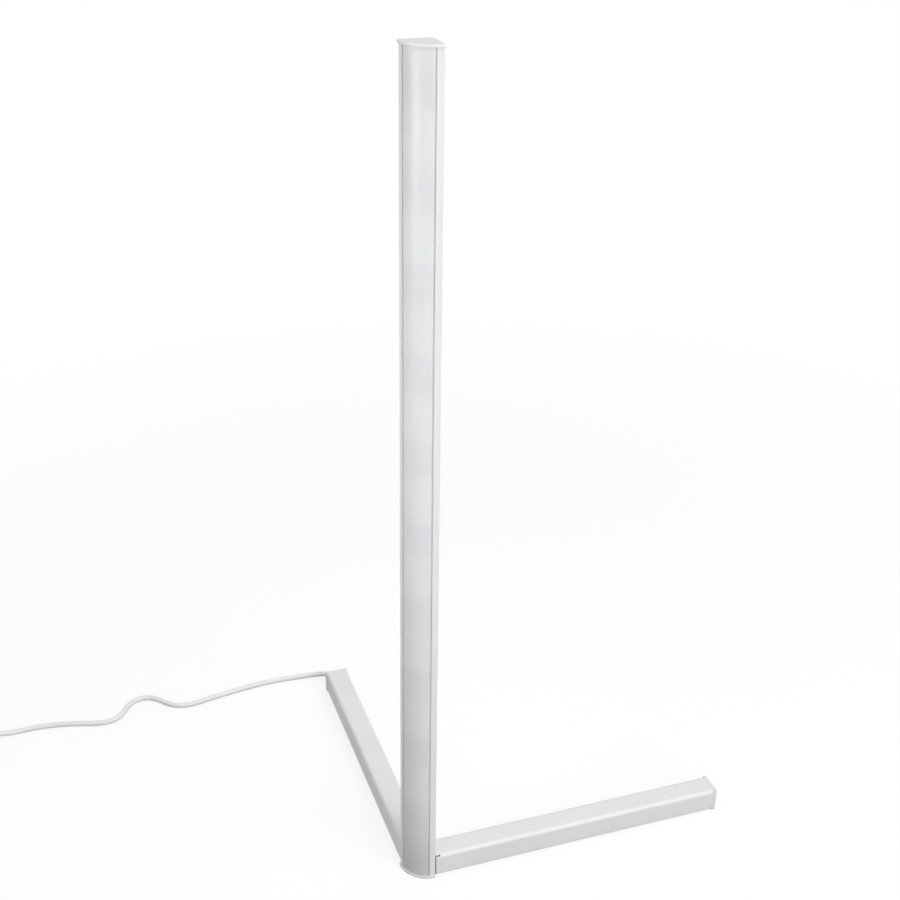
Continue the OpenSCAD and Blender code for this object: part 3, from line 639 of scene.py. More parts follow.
def coil_points(sizes):
    """The coil spirals in on the floor, climbs a layer in the half turn where it reverses, and spirals out.
    On its -Y side it lies on its tie."""
    turns, step = 2 * sizes.layer_turns, sizes.cord_diameter + sizes.coil_gap
    centre, points = middle_of("cord_coil"), []
    for i in range(round(turns * PER_TURN) + 1):
        t = i / PER_TURN
        r = sizes.coil_radius - step * min(t, turns - t)
        climb = max(0.0, min(1.0, 2 * (t - sizes.layer_turns) + 0.5))
        angle = math.pi + math.tau * t
        lift = step * (3 * climb**2 - 2 * climb**3) + sizes.tie_wire * max(0.0, -math.sin(angle)) ** 2
        points.append(Vector((
            centre.x + r * math.cos(angle), centre.y + r * math.sin(angle), sizes.cord_diameter / 2 + lift,
        )))
    return points


def switch_end(side):
    """Where the cord enters the switch, at its -X side (0) or its +X side (1)."""
    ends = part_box("switch_base")
    return Vector((ends[side][0], (ends[0][1] + ends[1][1]) / 2, ends[1][2]))


def lead_points(sizes):
    """The cord's line from the end cap to the switch."""
    end = switch_end(1)
    inside = [boot_point(sizes, boot_length(sizes) * i / 3) for i in range(4)]
    return [
        *inside, *on_floor(LEAD_ROUTE, sizes.cord_diameter / 2),
        end + Vector((sizes.cord_diameter, 0, 0)), end,
    ]


def rest_points(sizes):
    """The cord's line from the switch through its coil to the plug."""
    radius, diameter = sizes.cord_diameter / 2, sizes.cord_diameter
    start = switch_end(0)
    coil, on = coil_points(sizes), Vector((0, diameter, 0))
    plug = middle_of("plug_body")
    plug.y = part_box("plug_body")[1][1]
    return [
        start, start - Vector((diameter, 0, 0)), *on_floor(LINK_ROUTE, radius),
        coil[0] + on, *coil, coil[-1] - on, coil[-1] - 2 * on, *on_floor(TAIL_ROUTE, radius),
        plug + on, plug,
    ]


class LAMP_OT_camera(Operator):
    """Places the camera that the photograph was taken with"""

    bl_idname = "lamp.camera"
    bl_label = "Camera"

    def execute(self, context):
        view = context.scene.lamp_view
        flat = Vector((math.cos(view.heading), math.sin(view.heading), 0))
        right = Vector((math.sin(view.heading), -math.cos(view.heading), 0))
        ahead = math.cos(view.dip) * flat - math.sin(view.dip) * Vector((0, 0, 1))
        up = right.cross(ahead)
        side = math.cos(view.roll) * right + math.sin(view.roll) * up
        top = math.cos(view.roll) * up - math.sin(view.roll) * right
        data = bpy.data.cameras.new("photograph")
        data.sensor_width = 36
        data.lens = view.lens
        data.clip_end = 100
        camera = bpy.data.objects.new("photograph", data)
        turned = Matrix((side, top, -ahead)).transposed().to_4x4()
        camera.matrix_world = Matrix.Translation(view.place) @ turned
        context.scene.collection.objects.link(camera)
        context.scene.camera = camera
        return {"FINISHED"}


class LAMP_OT_cords(Operator):
    """Lays the cord: from the lamp to its switch, and from there through its coil to the plug"""

    bl_idname = "lamp.cords"
    bl_label = "Cords"

    def execute(self, context):
        sizes = context.scene.lamp_sizes
        for name, points, *nodes in (
            ("cord_to_switch", lead_points(sizes), "cord_lead"),
            ("cord_to_plug", rest_points(sizes), "cord_link", "cord_coil", "cord_tail"),
        ):
            cord = cord_curve(name, points, sizes.cord_diameter, MATERIALS["sheath"])
            stands_for(cord, "white_pvc_sheath", *nodes)
        return {"FINISHED"}


def boot_tree():
    """A ribbed sleeve along a straight neck and a bend: its radius follows the distance from the end cap."""
    tree, given, out = geometry_tree(
        "ribbed_boot", Start="Vector", Neck="Float", Flange="Float", Bend="Float", Length="Float",
        Rings="Int", Core_radius="Float", Ring_radius="Float", Flange_radius="Float", Neck_radius="Float",
        Material="Material",
    )
    steps, around = 240, 40
    line = put(tree, "GeometryNodeCurvePrimitiveLine", {"End": (1, 0, 0)})
    fine = put(tree, "GeometryNodeResampleCurve", {"Curve": line, "Count": steps})
    share = put(tree, "GeometryNodeSplineParameter").outputs["Factor"]
    # Distance from the end cap's face, from minus the neck's length to the boot's tip
    along = ramp(tree, share, low=given["Neck"], high=given["Length"])
    past = calc(tree, "SUBTRACT", along, given["Flange"])
    straight, bent = calc(tree, "MINIMUM", past, 0.0), calc(tree, "MAXIMUM", past, 0.0)
    turn = calc(tree, "DIVIDE", bent, given["Bend"])
    back = calc(tree, "SUBTRACT", calc(tree, "COSINE", turn), 1.0)
    side = calc(tree, "MULTIPLY", back, given["Bend"])
    ahead = calc(tree, "MULTIPLY_ADD", calc(tree, "SINE", turn), given["Bend"], straight)
    place = put(tree, "ShaderNodeCombineXYZ", {"X": side, "Y": ahead})
    moved = calc_vector(tree, "ADD", place, given["Start"])
    path = put(tree, "GeometryNodeSetPosition", {"Geometry": fine, "Position": moved})
    # Rings: a rounded pulse for each, as shares of their pitch, and lower and lower towards the tip
    ring_middle, ring_foot, ring_crown, last_ring = 0.36, 0.36, 0.22, 0.22
    span = calc(tree, "SUBTRACT", given["Length"], given["Flange"])
    share_bent = calc(tree, "DIVIDE", bent, span)
    phase = calc(tree, "FRACT", calc(tree, "MULTIPLY", share_bent, given["Rings"]))
    off = calc(tree, "ABSOLUTE", calc(tree, "SUBTRACT", phase, ring_middle))
    pulse = ramp(tree, off, ring_foot, ring_crown, kind="SMOOTHSTEP")
    height = calc(tree, "SUBTRACT", given["Ring radius"], given["Core radius"])
    fade = ramp(tree, share_bent, low=1.0, high=last_ring)
    radius = calc(tree, "MULTIPLY_ADD", calc(tree, "MULTIPLY", pulse, fade), height, given["Core radius"])
    # The flange before the bend and the neck behind the end cap's face have a plain radius each
    for distance, plain in ((past, "Flange radius"), (along, "Neck radius")):
        beyond = calc(tree, "GREATER_THAN", distance, 0.0)
        radius = put(
            tree, "GeometryNodeSwitch", {"Switch": beyond, "False": given[plain], "True": radius},
            input_type="FLOAT",
        )
    section = put(tree, "GeometryNodeCurvePrimitiveCircle", {"Resolution": around, "Radius": 1.0})
    sleeve = put(
        tree, "GeometryNodeCurveToMesh",
        {"Curve": path, "Profile Curve": section.outputs["Curve"], "Scale": radius, "Fill Caps": True},
    )
    finish_mesh(tree, out, sleeve, given["Material"])
    return tree


class LAMP_OT_strain_relief(Operator):
    """Grows the ribbed strain relief that leads the cord out of the left bar"""

    bl_idname = "lamp.strain_relief"
    bl_label = "Strain relief"

    def execute(self, context):
        sizes = context.scene.lamp_sizes
        start = boot_point(sizes, sizes.boot_flange)
        piece = grown(
            "ribbed_strain_relief", boot_tree(), Start=start, Neck=-6 * MM, Flange=sizes.boot_flange,
            Bend=sizes.boot_bend, Length=boot_length(sizes), Rings=sizes.boot_rings, Core_radius=4.6 * MM,
            Ring_radius=6.8 * MM, Flange_radius=7.5 * MM, Neck_radius=5.1 * MM, Material=MATERIALS["sheath"],
        )
        stands_for(piece, "white_pvc_sheath", "strain_relief")
        return {"FINISHED"}


# ---- column ----


def opal_tree():
    """The opal front: a sheet bent to the arc, which steps in to a flange at both long edges."""
    tree, given, out = geometry_tree(
        "opal_front", Corner="Vector", Bottom="Float", Top="Float", Face_radius="Float",
        Flange_radius="Float", First_angle="Float", Step_start="Float", Step_end="Float",
        Thickness="Float", Material="Material",
    )
    quarter, across_points, up_points = math.pi / 2, 161, 12
    sheet = put(
        tree, "GeometryNodeMeshGrid",
        {"Size X": 1.0, "Size Y": 1.0, "Vertices X": across_points, "Vertices Y": up_points},
    )
    at = put(tree, "ShaderNodeSeparateXYZ", {"Vector": put(tree, "GeometryNodeInputPosition")})
    across = calc(tree, "ADD", at.outputs["X"], 0.5)
    last_angle = calc(tree, "SUBTRACT", quarter, given["First angle"])
    angle = ramp(tree, across, low=given["First angle"], high=last_angle)
    from_edge = calc(tree, "MINIMUM", angle, calc(tree, "SUBTRACT", quarter, angle))
    radius = ramp(
        tree, from_edge, given["Step start"], given["Step end"], given["Flange radius"],
        given["Face radius"], "SMOOTHSTEP",
    )
    sides = {"X": calc(tree, "COSINE", angle), "Y": calc(tree, "SINE", angle)}
    outward = put(tree, "ShaderNodeCombineXYZ", sides)
    arc = scaled(tree, outward, calc(tree, "MULTIPLY", radius, -1.0))
    rise = ramp(tree, at.outputs["Y"], -0.5, 0.5, given["Bottom"], given["Top"])
    height = put(tree, "ShaderNodeCombineXYZ", {"Z": rise})
    flat_corner = calc_vector(tree, "MULTIPLY", given["Corner"], (1, 1, 0))
    place = calc_vector(tree, "ADD", calc_vector(tree, "ADD", flat_corner, height), arc)
    bent = put(tree, "GeometryNodeSetPosition", {"Geometry": sheet.outputs["Mesh"], "Position": place})
    thick = put(
        tree, "GeometryNodeExtrudeMesh",
        {
            "Mesh": bent, "Offset": scaled(tree, outward, given["Thickness"]), "Offset Scale": 1.0,
            "Individual": False,
        },
        mode="FACES",
    )
    back = put(tree, "GeometryNodeFlipFaces", {"Mesh": bent})
    joined = put(tree, "GeometryNodeJoinGeometry", {"Geometry": back})
    tree.links.new(thick.outputs["Mesh"], joined.inputs["Geometry"])
    finish_mesh(tree, out, joined, given["Material"])
    return tree


class LAMP_OT_column(Operator):
    """Makes the column: its extrusion, its opal front and its two caps"""

    bl_idname = "lamp.column"
    bl_label = "Column"

    def execute(self, context):
        sizes = context.scene.lamp_sizes
        rounded("column_profile", "column_extrusion", 0.3 * MM, "powder", "powder_coated_aluminium")
        low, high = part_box("diffuser")
        step = sizes.lip_angle + math.radians(1.2)
        front = grown(
            "opal_front", opal_tree(), Corner=CORNER, Bottom=low[2], Top=high[2],
            Face_radius=COLUMN_R - 0.1 * MM, Flange_radius=COLUMN_R - 2.3 * MM,
            First_angle=math.radians(5.5), Step_start=step - math.radians(0.4),
            Step_end=step + math.radians(1.6), Thickness=sizes.opal_thickness, Material=MATERIALS["opal"],
        )
        stands_for(front, "opal_acrylic", "diffuser")
        for node, name in (("top_cap", "column_top_cap"), ("bottom_cap", "column_bottom_cap")):
            rounded(node, name, 0.15 * MM, "moulding", "moulded_cap_white")
        return {"FINISHED"}


def chip_tree():
    """A row of light chips: each a white package with a square well of phosphor."""
    tree, given, out = geometry_tree(
        "light_chips", First="Vector", Pitch="Float", Count="Int", Width="Float", Depth="Float",
        Package="Material", Phosphor="Material",
    )
    gap = put(tree, "ShaderNodeCombineXYZ", {"Z": given["Pitch"]})
    row = put(
        tree, "GeometryNodeMeshLine",
        {"Count": given["Count"], "Start Location": given["First"], "Offset": gap},
    )
    size = put(tree, "ShaderNodeCombineXYZ", {"X": given["Depth"], "Y": given["Width"], "Z": given["Width"]})
    block = put(tree, "GeometryNodeMeshCube", {"Size": size})
    well_share, well_depth = 0.78, 0.3 * MM
    rim = put(
        tree, "GeometryNodeExtrudeMesh",
        {"Mesh": block.outputs["Mesh"], "Selection": facing_back(tree, "X"), "Offset Scale": 0.0},
        mode="FACES",
    )
    top = rim.outputs["Top"]
    inner = put(
        tree, "GeometryNodeScaleElements",
        {"Geometry": rim.outputs["Mesh"], "Selection": top, "Scale": well_share},
    )
    well = put(
        tree, "GeometryNodeExtrudeMesh",
        {"Mesh": inner, "Selection": top, "Offset Scale": -well_depth}, mode="FACES",
    )
    marked = put(
        tree, "GeometryNodeStoreNamedAttribute",
        {"Geometry": well.outputs["Mesh"], "Name": "filled", "Value": well.outputs["Top"]},
        data_type="BOOLEAN", domain="FACE",
    )
    turned = put(tree, "FunctionNodeInputVector", vector=(0, 0, math.pi / 4))
    chips = put(
        tree, "GeometryNodeInstanceOnPoints", {"Points": row, "Instance": marked, "Rotation": turned}
    )
    real = put(tree, "GeometryNodeRealizeInstances", {"Geometry": chips})
    white = put(tree, "GeometryNodeSetMaterial", {"Geometry": real, "Material": given["Package"]})
    filled = put(tree, "GeometryNodeInputNamedAttribute", {"Name": "filled"}, data_type="BOOLEAN")
    done = put(
        tree, "GeometryNodeSetMaterial",
        {"Geometry": white, "Selection": filled, "Material": given["Phosphor"]},
    )
    tree.links.new(done.outputs[0], out.inputs["Geometry"])
    return tree


class LAMP_OT_light_strip(Operator):
    """Puts the light chips on the strip behind the opal front"""

    bl_idname = "lamp.light_strip"
    bl_label = "Light strip"

    def execute(self, context):
        parts = sorted(islands("led_chips"), key=lambda box: box[0].z)
        middles = [(low + high) / 2 for low, high in parts]
        pitch = (middles[-1].z - middles[0].z) / (len(middles) - 1)
        width = parts[0][1].z - parts[0][0].z
        chips = grown(
            "light_chips", chip_tree(), First=middles[0], Pitch=pitch, Count=len(middles), Width=width,
            Depth=1.6 * MM, Package=MATERIALS["package"], Phosphor=MATERIALS["phosphor"],
        )
        stands_for(chips, "led_phosphor", "led_chips")
        dress("strip", "led_strip")
        return {"FINISHED"}


def dress(finish, *nodes):
    """Gives CAD nodes that keep their own shape a finish."""
    for node in nodes:
        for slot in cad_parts[node].material_slots:
            slot.material = MATERIALS[finish]


# ---- bars ----


class LAMP_OT_bars(Operator):
    """Makes the two bars and their end caps"""

    bl_idname = "lamp.bars"
    bl_label = "Bars"

    def execute(self, context):
        for side in ("right", "left"):
            rounded(
                f"bar_{side}", f"powder_coated_bar_{side}", 0.25 * MM, "powder", "powder_coated_aluminium"
            )
            rounded(f"end_cap_{side}", f"moulded_end_cap_{side}", 0.5 * MM, "moulding", "moulded_cap_white")
        return {"FINISHED"}


def pad_tree():
    """Rubber pads on points: each a disc that narrows towards its foot."""
    tree, given, out = geometry_tree(
        "foot_pads", Points="Geometry", Radius="Float", Thickness="Float", Material="Material"
    )
    around, foot_share = 48, 0.95
    disc = put(
        tree, "GeometryNodeMeshCylinder",
        {"Vertices": around, "Radius": given["Radius"], "Depth": given["Thickness"]}, fill_type="NGON",
    )
    foot = put(
        tree, "GeometryNodeScaleElements",
        {"Geometry": disc.outputs["Mesh"], "Selection": facing_back(tree, "Z"), "Scale": foot_share},
    )
    lift = put(tree, "ShaderNodeCombineXYZ", {"Z": calc(tree, "MULTIPLY", given["Thickness"], 0.5)})
    raised = put(tree, "GeometryNodeTransform", {"Geometry": foot, "Translation": lift})
    pads = put(tree, "GeometryNodeInstanceOnPoints", {"Points": given["Points"], "Instance": raised})
    real = put(tree, "GeometryNodeRealizeInstances", {"Geometry": pads})
    finish_mesh(tree, out, real, given["Material"])
    return tree


class LAMP_OT_foot_pads(Operator):
    """Sticks the rubber pads under the bars and the column"""

    bl_idname = "lamp.foot_pads"
    bl_label = "Foot pads"

    def execute(self, context):
        tree = pad_tree()
        groups = {}
        for low, high in islands("foot_pads"):
            groups.setdefault((round(high.x - low.x, 4), round(high.z - low.z, 4)), []).append((low, high))
        for i, ((across, thick), boxes) in enumerate(sorted(groups.items())):
            points = [((low.x + high.x) / 2, (low.y + high.y) / 2, low.z) for low, high in boxes]
            pads = grown(
                f"foot_pads_{i}", tree, points=points, Radius=across / 2, Thickness=thick,
                Material=MATERIALS["rubber"],
            )
            stands_for(pads, "black_rubber", "foot_pads")
        return {"FINISHED"}


# ---- screws ----


def screw_mesh(name, shank, head, sink, reach):
    """A cross-recessed countersunk screw pointing up, its face at z = 0."""
    bm = bmesh.new()
    around, pitch, root, tip = 32, 0.5 * shank, 0.84 * shank, 0.3 * shank
    outline = [(head, 0), (head, 0.1 * sink), (shank, sink)]
    for _ in range(int((reach - 1.5 * shank - sink) / pitch)):
        z = outline[-1][1]
        outline += [(root, z + 0.5 * pitch), (shank, z + pitch)]
    outline += [(tip, reach)]
    turn = [math.tau * k / around for k in range(around)]
    rings = [[bm.verts.new((r * math.cos(a), r * math.sin(a), z)) for a in turn] for r, z in outline]
    for low, high in zip(rings, rings[1:]):
        for k in range(around):
            bm.faces.new((low[k], low[(k + 1) % around], high[(k + 1) % around], high[k]))
    bm.faces.new(rings[-1])
    # The cross recess: its arms, and a floor that is smaller than its mouth
    arm, half, floor_share, deep = 0.52 * head, 0.16 * head, 0.7, 0.45 * head
    corners = [
        (arm, -half), (arm, half), (half, half), (half, arm), (-half, arm), (-half, half), (-arm, half),
        (-arm, -half), (-half, -half), (-half, -arm), (half, -arm), (half, -half),
    ]
    mouth = [bm.verts.new((x, y, 0)) for x, y in corners]
    floor = [bm.verts.new((x * floor_share, y * floor_share, deep)) for x, y in corners]
    rim = [bm.edges.get((rings[0][k], rings[0][(k + 1) % around])) for k in range(around)]
    following = [(k, (k + 1) % len(corners)) for k, _ in enumerate(corners)]
    edge = [bm.edges.new((mouth[k], mouth[j])) for k, j in following]
    bmesh.ops.triangle_fill(bm, edges=rim + edge, use_beauty=True)
    for k, j in following:
        bm.faces.new((mouth[k], mouth[j], floor[j], floor[k]))
    bm.faces.new(floor)
    bmesh.ops.recalc_face_normals(bm, faces=bm.faces)
    return creased(bm, name, math.radians(35))


def screw_tree():
    """Screws on points, all turned the same way."""
    tree, given, out = geometry_tree(
        "screws_on_points", Points="Geometry", Screw="Object", Turn="Vector", Material="Material"
    )
    model = put(tree, "GeometryNodeObjectInfo", {"Object": given["Screw"]}, transform_space="ORIGINAL")
    placed = put(
        tree, "GeometryNodeInstanceOnPoints",
        {"Points": given["Points"], "Instance": model.outputs["Geometry"], "Rotation": given["Turn"]},
    )
    real = put(tree, "GeometryNodeRealizeInstances", {"Geometry": placed})
    plated = put(tree, "GeometryNodeSetMaterial", {"Geometry": real, "Material": given["Material"]})
    tree.links.new(plated.outputs[0], out.inputs["Geometry"])
    return tree


UP, TO_MINUS_X, TO_MINUS_Y = (0, 0, 0), (0, -math.pi / 2, 0), (math.pi / 2, 0, 0)
# Node, then in mm the shank's radius, the head's radius and depth and the length, and the way the screw
# points, which in the end caps differs from screw to screw
SCREWS = (
    ("bottom_cap_screws", 1.2, 2.7, 1.5, 12, UP),
    ("bar_screws", 2.0, 3.6, 1.6, 5.6, UP),
    ("ballast_screws", 2.0, 3.6, 1.6, 9.6, UP),
    ("switch_screws", 1.2, 2.5, 1.4, 13, UP),
    ("end_cap_screws", 1.2, 2.7, 1.5, 14, None),
)


class LAMP_OT_screws(Operator):
    """Drives the screws under the bars, in the end caps, in the column's cap and in the switch"""

    bl_idname = "lamp.screws"
    bl_label = "Screws"

    def execute(self, context):
        tree = screw_tree()
        for node, shank, head, sink, reach, turn in SCREWS:
            model = screw_mesh("screw_model", shank * MM, head * MM, sink * MM, reach * MM)
            groups = {}
            for low, high in islands(node):
                middle, size = (low + high) / 2, high - low
                if turn is not None:
                    groups.setdefault(turn, []).append((middle.x, middle.y, low.z))
                elif size.x > size.y:
                    groups.setdefault(TO_MINUS_X, []).append((high.x, middle.y, middle.z))
                else:
                    groups.setdefault(TO_MINUS_Y, []).append((middle.x, high.y, middle.z))
            for i, (way, points) in enumerate(groups.items()):
                screws = grown(
                    f"{node}_{i}", tree, points=points, Screw=model, Turn=way, Material=MATERIALS["zinc"]
                )
                stands_for(screws, "zinc_plated_steel", node)
            bpy.data.objects.remove(model)
        return {"FINISHED"}


# ---- switch and plug ----


class LAMP_OT_switch(Operator):
    """Makes the in-line switch: its two halves and the rocker, which rides on a body of its own"""

    bl_idname = "lamp.switch"
    bl_label = "Switch"

    def execute(self, context):
        parting = max(vert.co.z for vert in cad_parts["switch_base"].data.vertices)
        for node, width in (("switch_base", 1.0), ("switch_cover", 1.2)):
            bm = merged(node)
            heights = [vert.co.z for vert in bm.verts]
            face = min(heights) if node == "switch_base" else max(heights)
            round_over(bm, width * MM, fits=lambda edge: level(edge, face))
            round_over(bm, 0.2 * MM, 2, fits=lambda edge: level(edge, parting))
            shell = smoothed(bm, f"moulded_{node}", MATERIALS["switch"])
            stands_for(shell, "white_polycarbonate", node)
        rounded(
            "switch_rocker", "moulded_switch_rocker", 0.5 * MM, "switch", "white_polycarbonate", body="rocker"
        )
        dress("brass", "switch_contacts")
        return {"FINISHED"}


class LAMP_OT_plug(Operator):
    """Makes the plug: its moulded body, its pins and its earth contacts"""

    bl_idname = "lamp.plug"
    bl_label = "Plug"

    def execute(self, context):
        bm = merged("plug_body")
        round_over(bm, 0.6 * MM)
        # The clamp leaves this one no width: it rounds nothing, and adds faces without area
        round_over(bm, 1.4 * MM, 4, sharp=7)
        body = smoothed(bm, "moulded_plug_body", MATERIALS["switch"])
        stands_for(body, "white_polycarbonate", "plug_body")
        for node in ("plug_pins", "plug_earth_clips"):
            rounded(node, f"nickel_{node}", 0.15 * MM, "nickel", "nickel_plated_brass")
        return {"FINISHED"}


def tie_angles(corners, lean, steps=6):
    """Corners of a convex outline and outward angles all round it, from just past its outermost corner on."""
    sides = []
    for i, corner in enumerate(corners):
        before, after = corner - corners[i - 1], corners[(i + 1) % len(corners)] - corner
        first = math.atan2(-before.x, before.y)
        sides.append((corner, first, (math.atan2(-after.x, after.y) - first) % math.tau))
    outermost = max(range(len(sides)), key=lambda i: sum(sides[i][0]))
    sides = sides[outermost:] + sides[:outermost]
    corner, first, turn = sides[0]
    middle = first + turn / 2
    found = [(corner, middle + lean)]
    for other, begin, sweep in sides[1:]:
        found += [(other, begin + sweep * k / steps) for k in range(steps + 1)]
    return found + [(corner, middle - lean)], corner, middle


def ribbon(name, path, outline, material):
    """A closed strip swept along places that each have a widthwise and an outward direction."""
    bm = bmesh.new()
    rings = [[bm.verts.new(at + u * wide + v * out) for u, v in outline] for at, wide, out in path]
    for one, two in zip(rings, rings[1:]):
        for k, _ in enumerate(outline):
            j = (k + 1) % len(outline)
            bm.faces.new((one[k], one[j], two[j], two[k]))
    bm.faces.new(rings[0])
    bm.faces.new(rings[-1])
    bmesh.ops.recalc_face_normals(bm, faces=bm.faces)
    return creased(bm, name, math.radians(40), material)


class LAMP_OT_tie(Operator):
    """Twists a plastic-coated wire tie round the coil"""

    bl_idname = "lamp.tie"
    bl_label = "Tie"

    def execute(self, context):
        sizes = context.scene.lamp_sizes
        centre = middle_of("cord_coil")
        # The coil cut at its -Y side: x counts outwards from the coil's middle, y upwards
        turns = [Vector((centre.y - p.y, p.z)) for p in coil_points(sizes)[PER_TURN // 4 :: PER_TURN]]
        corners = [turns[i] for i in convex_hull_2d(turns)]
        lean, reach = math.radians(30), (sizes.cord_diameter + sizes.tie_wire) / 2 + 0.03 * MM
        angles, corner, middle = tie_angles(corners, lean)

        def way(angle):
            return Vector((0, -math.cos(angle), math.sin(angle)))

        def place(at):
            return Vector((centre.x, centre.y - at.x, at.y))

        along_x, axis, side = Vector((1, 0, 0)), way(middle), way(middle + math.pi / 2)
        root = place(corner) + axis * (reach / math.cos(lean) + sizes.tie_wire)
        twist, steps = math.tau * 2.5, 40
        tails = ([], [])
        for k in range(steps + 1):
            turn = twist * k / steps
            out = math.cos(turn) * side + math.sin(turn) * along_x
            wide = math.cos(turn) * along_x - math.sin(turn) * side
            at = root + axis * (sizes.tie_tail * k / steps)
            for tail, sign in zip(tails, (1, -1)):
                tail.append((at + sign * sizes.tie_wire / 2 * out, wide, sign * out))
        loop = [(place(at) + way(angle) * reach, along_x, way(angle)) for at, angle in angles]
        wire, flat, edge = sizes.tie_wire / 2, 0.17 * MM, sizes.tie_width / 2
        half = [(edge, -flat), (edge, flat), (1.2 * wire, flat), (0.5 * wire, wire), (-0.5 * wire, wire)]
        half += [(-1.2 * wire, flat)]
        outline = half + [(-u, -v) for u, v in half]
        path = tails[0][::-1] + loop + tails[1]
        tie = ribbon("coil_tie", path, outline, MATERIALS["sheath"])
        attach(tie, "lamp")
        return {"FINISHED"}


class LAMP_OT_cord_facts(Operator):
    """Works out the points of both cords, and says nothing about them"""

    bl_idname = "lamp.cord_facts"
    bl_label = "Cord facts"

    def execute(self, context):
        sizes = context.scene.lamp_sizes
        lead, rest = lead_points(sizes), rest_points(sizes)
        return {"FINISHED"}


class LAMP_OT_inside(Operator):
    """Finishes the parts inside the bars and the column, which keep the frame's shapes"""

    bl_idname = "lamp.inside"
    bl_label = "Inside"

    def execute(self, context):
        dress("rubber", "cable_grommet")
        # The brackets' black also stands as painted shade in the seam to the column
        dress("casting", "bracket_right", "bracket_left")
        dress("zinc", "bracket_bolts", "clamp_screws", "earth_screw")
        dress("ballast", "ballast_right", "ballast_left")
        dress("supply", "driver_tray", "driver_lid", "terminal_block", "clamp_base", "cord_clamp")
        dress("board", "driver_board")
        dress("brass", "terminal_screws", "earth_tag")
        dress("sheath", "cord_inlet", "lamp_cable")
        for node in ("mains_cores", "driver_leads"):
            bm = merged(node)
            # The cores lie side by side: earth, live and neutral from the left
            for i, part in enumerate(loose_parts(bm)):
                for vert in part:
                    for face in vert.link_faces:
                        face.material_index = i
            colours = (MATERIALS[core] for core in ("earth", "live", "neutral"))
            stands_for(creased(bm, f"insulated_{node}", CREASE, *colours), "core_insulation", node)
        return {"FINISHED"}


# ---- stage ----


def studio_floor(base):
    """Pale matt floor that fades to plain white away from the lamp, and keeps the lamp's shadow near it."""
    material, tree, shader, where = surface("pale_studio_floor", base, 0.9, Specular_IOR_Level=0.1)
    mottle(tree, shader, where, 0.4, shade(base, 0.99), base)
    lit_reach, white_from = 0.7, 1.9
    reach = calc_vector(tree, "LENGTH", where).outputs["Value"]
    far = ramp(tree, reach, lit_reach, white_from, kind="SMOOTHSTEP")
    white = put(tree, "ShaderNodeEmission", {"Color": (1, 1, 1, 1), "Strength": 1.0})
    glow = put(tree, "ShaderNodeEmission", {"Color": (1, 1, 1, 1), "Strength": 0.8})
    lit = put(tree, "ShaderNodeAddShader", {0: shader, 1: glow})
    shown = put(tree, "ShaderNodeMixShader", {0: far, 1: lit, 2: white})
    final = put(tree, "ShaderNodeMixShader", {0: shown_rays(tree), 1: shader, 2: shown})
    tree.links.new(final.outputs[0], tree.nodes["Material Output"].inputs["Surface"])
    return material


def studio_world():
    """White all round to the eye, and softer where it only gives light."""
    world = bpy.data.worlds.new("studio")
    world.use_nodes = True
    tree = world.node_tree
    background = tree.nodes["Background"]
    background.inputs["Color"].default_value = (1, 1, 1, 1)
    # The studio's left wall is darker: it draws the left bar's outer side
    towards = put(tree, "ShaderNodeTexCoord").outputs["Generated"]
    facing = calc_vector(tree, "DOT_PRODUCT", towards, (-1, 0, 0)).outputs["Value"]
    all_round, left_wall = 0.68, 0.25
    wall = ramp(tree, facing, 0.55, 0.9, all_round, left_wall, "SMOOTHSTEP")
    strength = ramp(tree, shown_rays(tree), low=wall)
    tree.links.new(strength.outputs[0], background.inputs["Strength"])
    return world


def area_lamp(name, place, target, size, power, spread=math.pi):
    data = bpy.data.lights.new(name, "AREA")
    data.size = size
    data.energy = power
    data.spread = spread
    lamp = bpy.data.objects.new(name, data)
    lamp.location = place
    lamp.rotation_euler = (Vector(target) - Vector(place)).to_track_quat("-Z", "Y").to_euler()
    lamp.visible_camera = False
    bpy.context.scene.collection.objects.link(lamp)


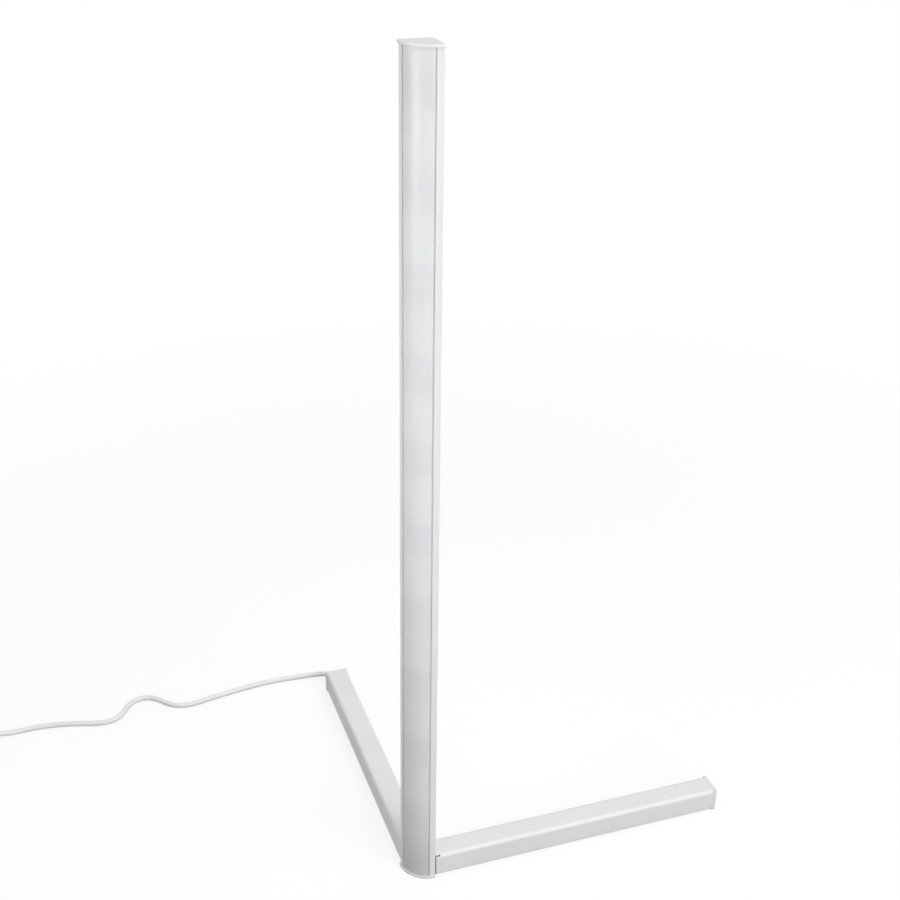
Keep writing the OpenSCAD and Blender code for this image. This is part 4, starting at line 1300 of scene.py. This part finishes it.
class LAMP_OT_stage(Operator):
    """Sets up the floor, the world and the studio lamps"""

    bl_idname = "lamp.stage"
    bl_label = "Stage"

    def execute(self, context):
        scene = context.scene
        mesh = bpy.data.meshes.new("studio_floor")
        half = 20.0
        mesh.from_pydata(
            [(-half, -half, 0), (half, -half, 0), (half, half, 0), (-half, half, 0)], [], [(0, 1, 2, 3)]
        )
        floor = add_piece("studio_floor", mesh, studio_floor(tuple(scene.lamp_colours.floor)))
        scene.world = studio_world()
        scene.view_settings.view_transform = "Standard"
        # A high key light from the front right, a level one from the front, a gridded one from the left, and
        # a faint one from above and behind
        area_lamp("key", (1.1, -2.4, 2.4), (-0.15, -0.2, 0.4), size=1.4, power=37)
        area_lamp("front", (0.2, -3.0, 1.0), (-0.15, -0.2, 0.6), size=1.2, power=15.5)
        area_lamp(
            "left", (-2.1, -0.7, 0.76), (-0.2, -0.2, 0.76), size=0.8, power=1.55, spread=math.radians(44)
        )
        area_lamp(
            "above", (0.3, 0.9, 2.3), (-0.22, 0.1, 0.0), size=0.6, power=0.1, spread=math.radians(25)
        )
        return {"FINISHED"}


class LAMP_PT_panel(Panel):
    """Lists the lamp's steps in the sidebar, a button for each"""

    bl_idname = "LAMP_PT_panel"
    bl_label = "Corner floor lamp"
    bl_space_type = "VIEW_3D"
    bl_region_type = "UI"
    bl_category = "Lamp"

    def draw(self, context):
        for step in STEPS:
            self.layout.operator(step.bl_idname)


STEPS = (
    LAMP_OT_camera, LAMP_OT_finishes, LAMP_OT_cords, LAMP_OT_strain_relief, LAMP_OT_switch, LAMP_OT_plug,
    LAMP_OT_tie, LAMP_OT_screws, LAMP_OT_cord_facts, LAMP_OT_column, LAMP_OT_light_strip, LAMP_OT_bars,
    LAMP_OT_foot_pads, LAMP_OT_inside, LAMP_OT_stage,
)
GROUPS = {"lamp_sizes": LampSizes, "lamp_colours": LampColours, "lamp_view": LampView}
CLASSES = (*GROUPS.values(), *STEPS, LAMP_PT_panel)


def register():
    for item in CLASSES:
        bpy.utils.register_class(item)
    for name, group in GROUPS.items():
        setattr(bpy.types.Scene, name, PointerProperty(type=group))


def unregister():
    for name in GROUPS:
        delattr(bpy.types.Scene, name)
    for item in reversed(CLASSES):
        bpy.utils.unregister_class(item)


def main():
    register()
    for step in STEPS:
        group, name = step.bl_idname.split(".")
        getattr(getattr(bpy.ops, group), name)()


if __name__ == "__main__":
    main()
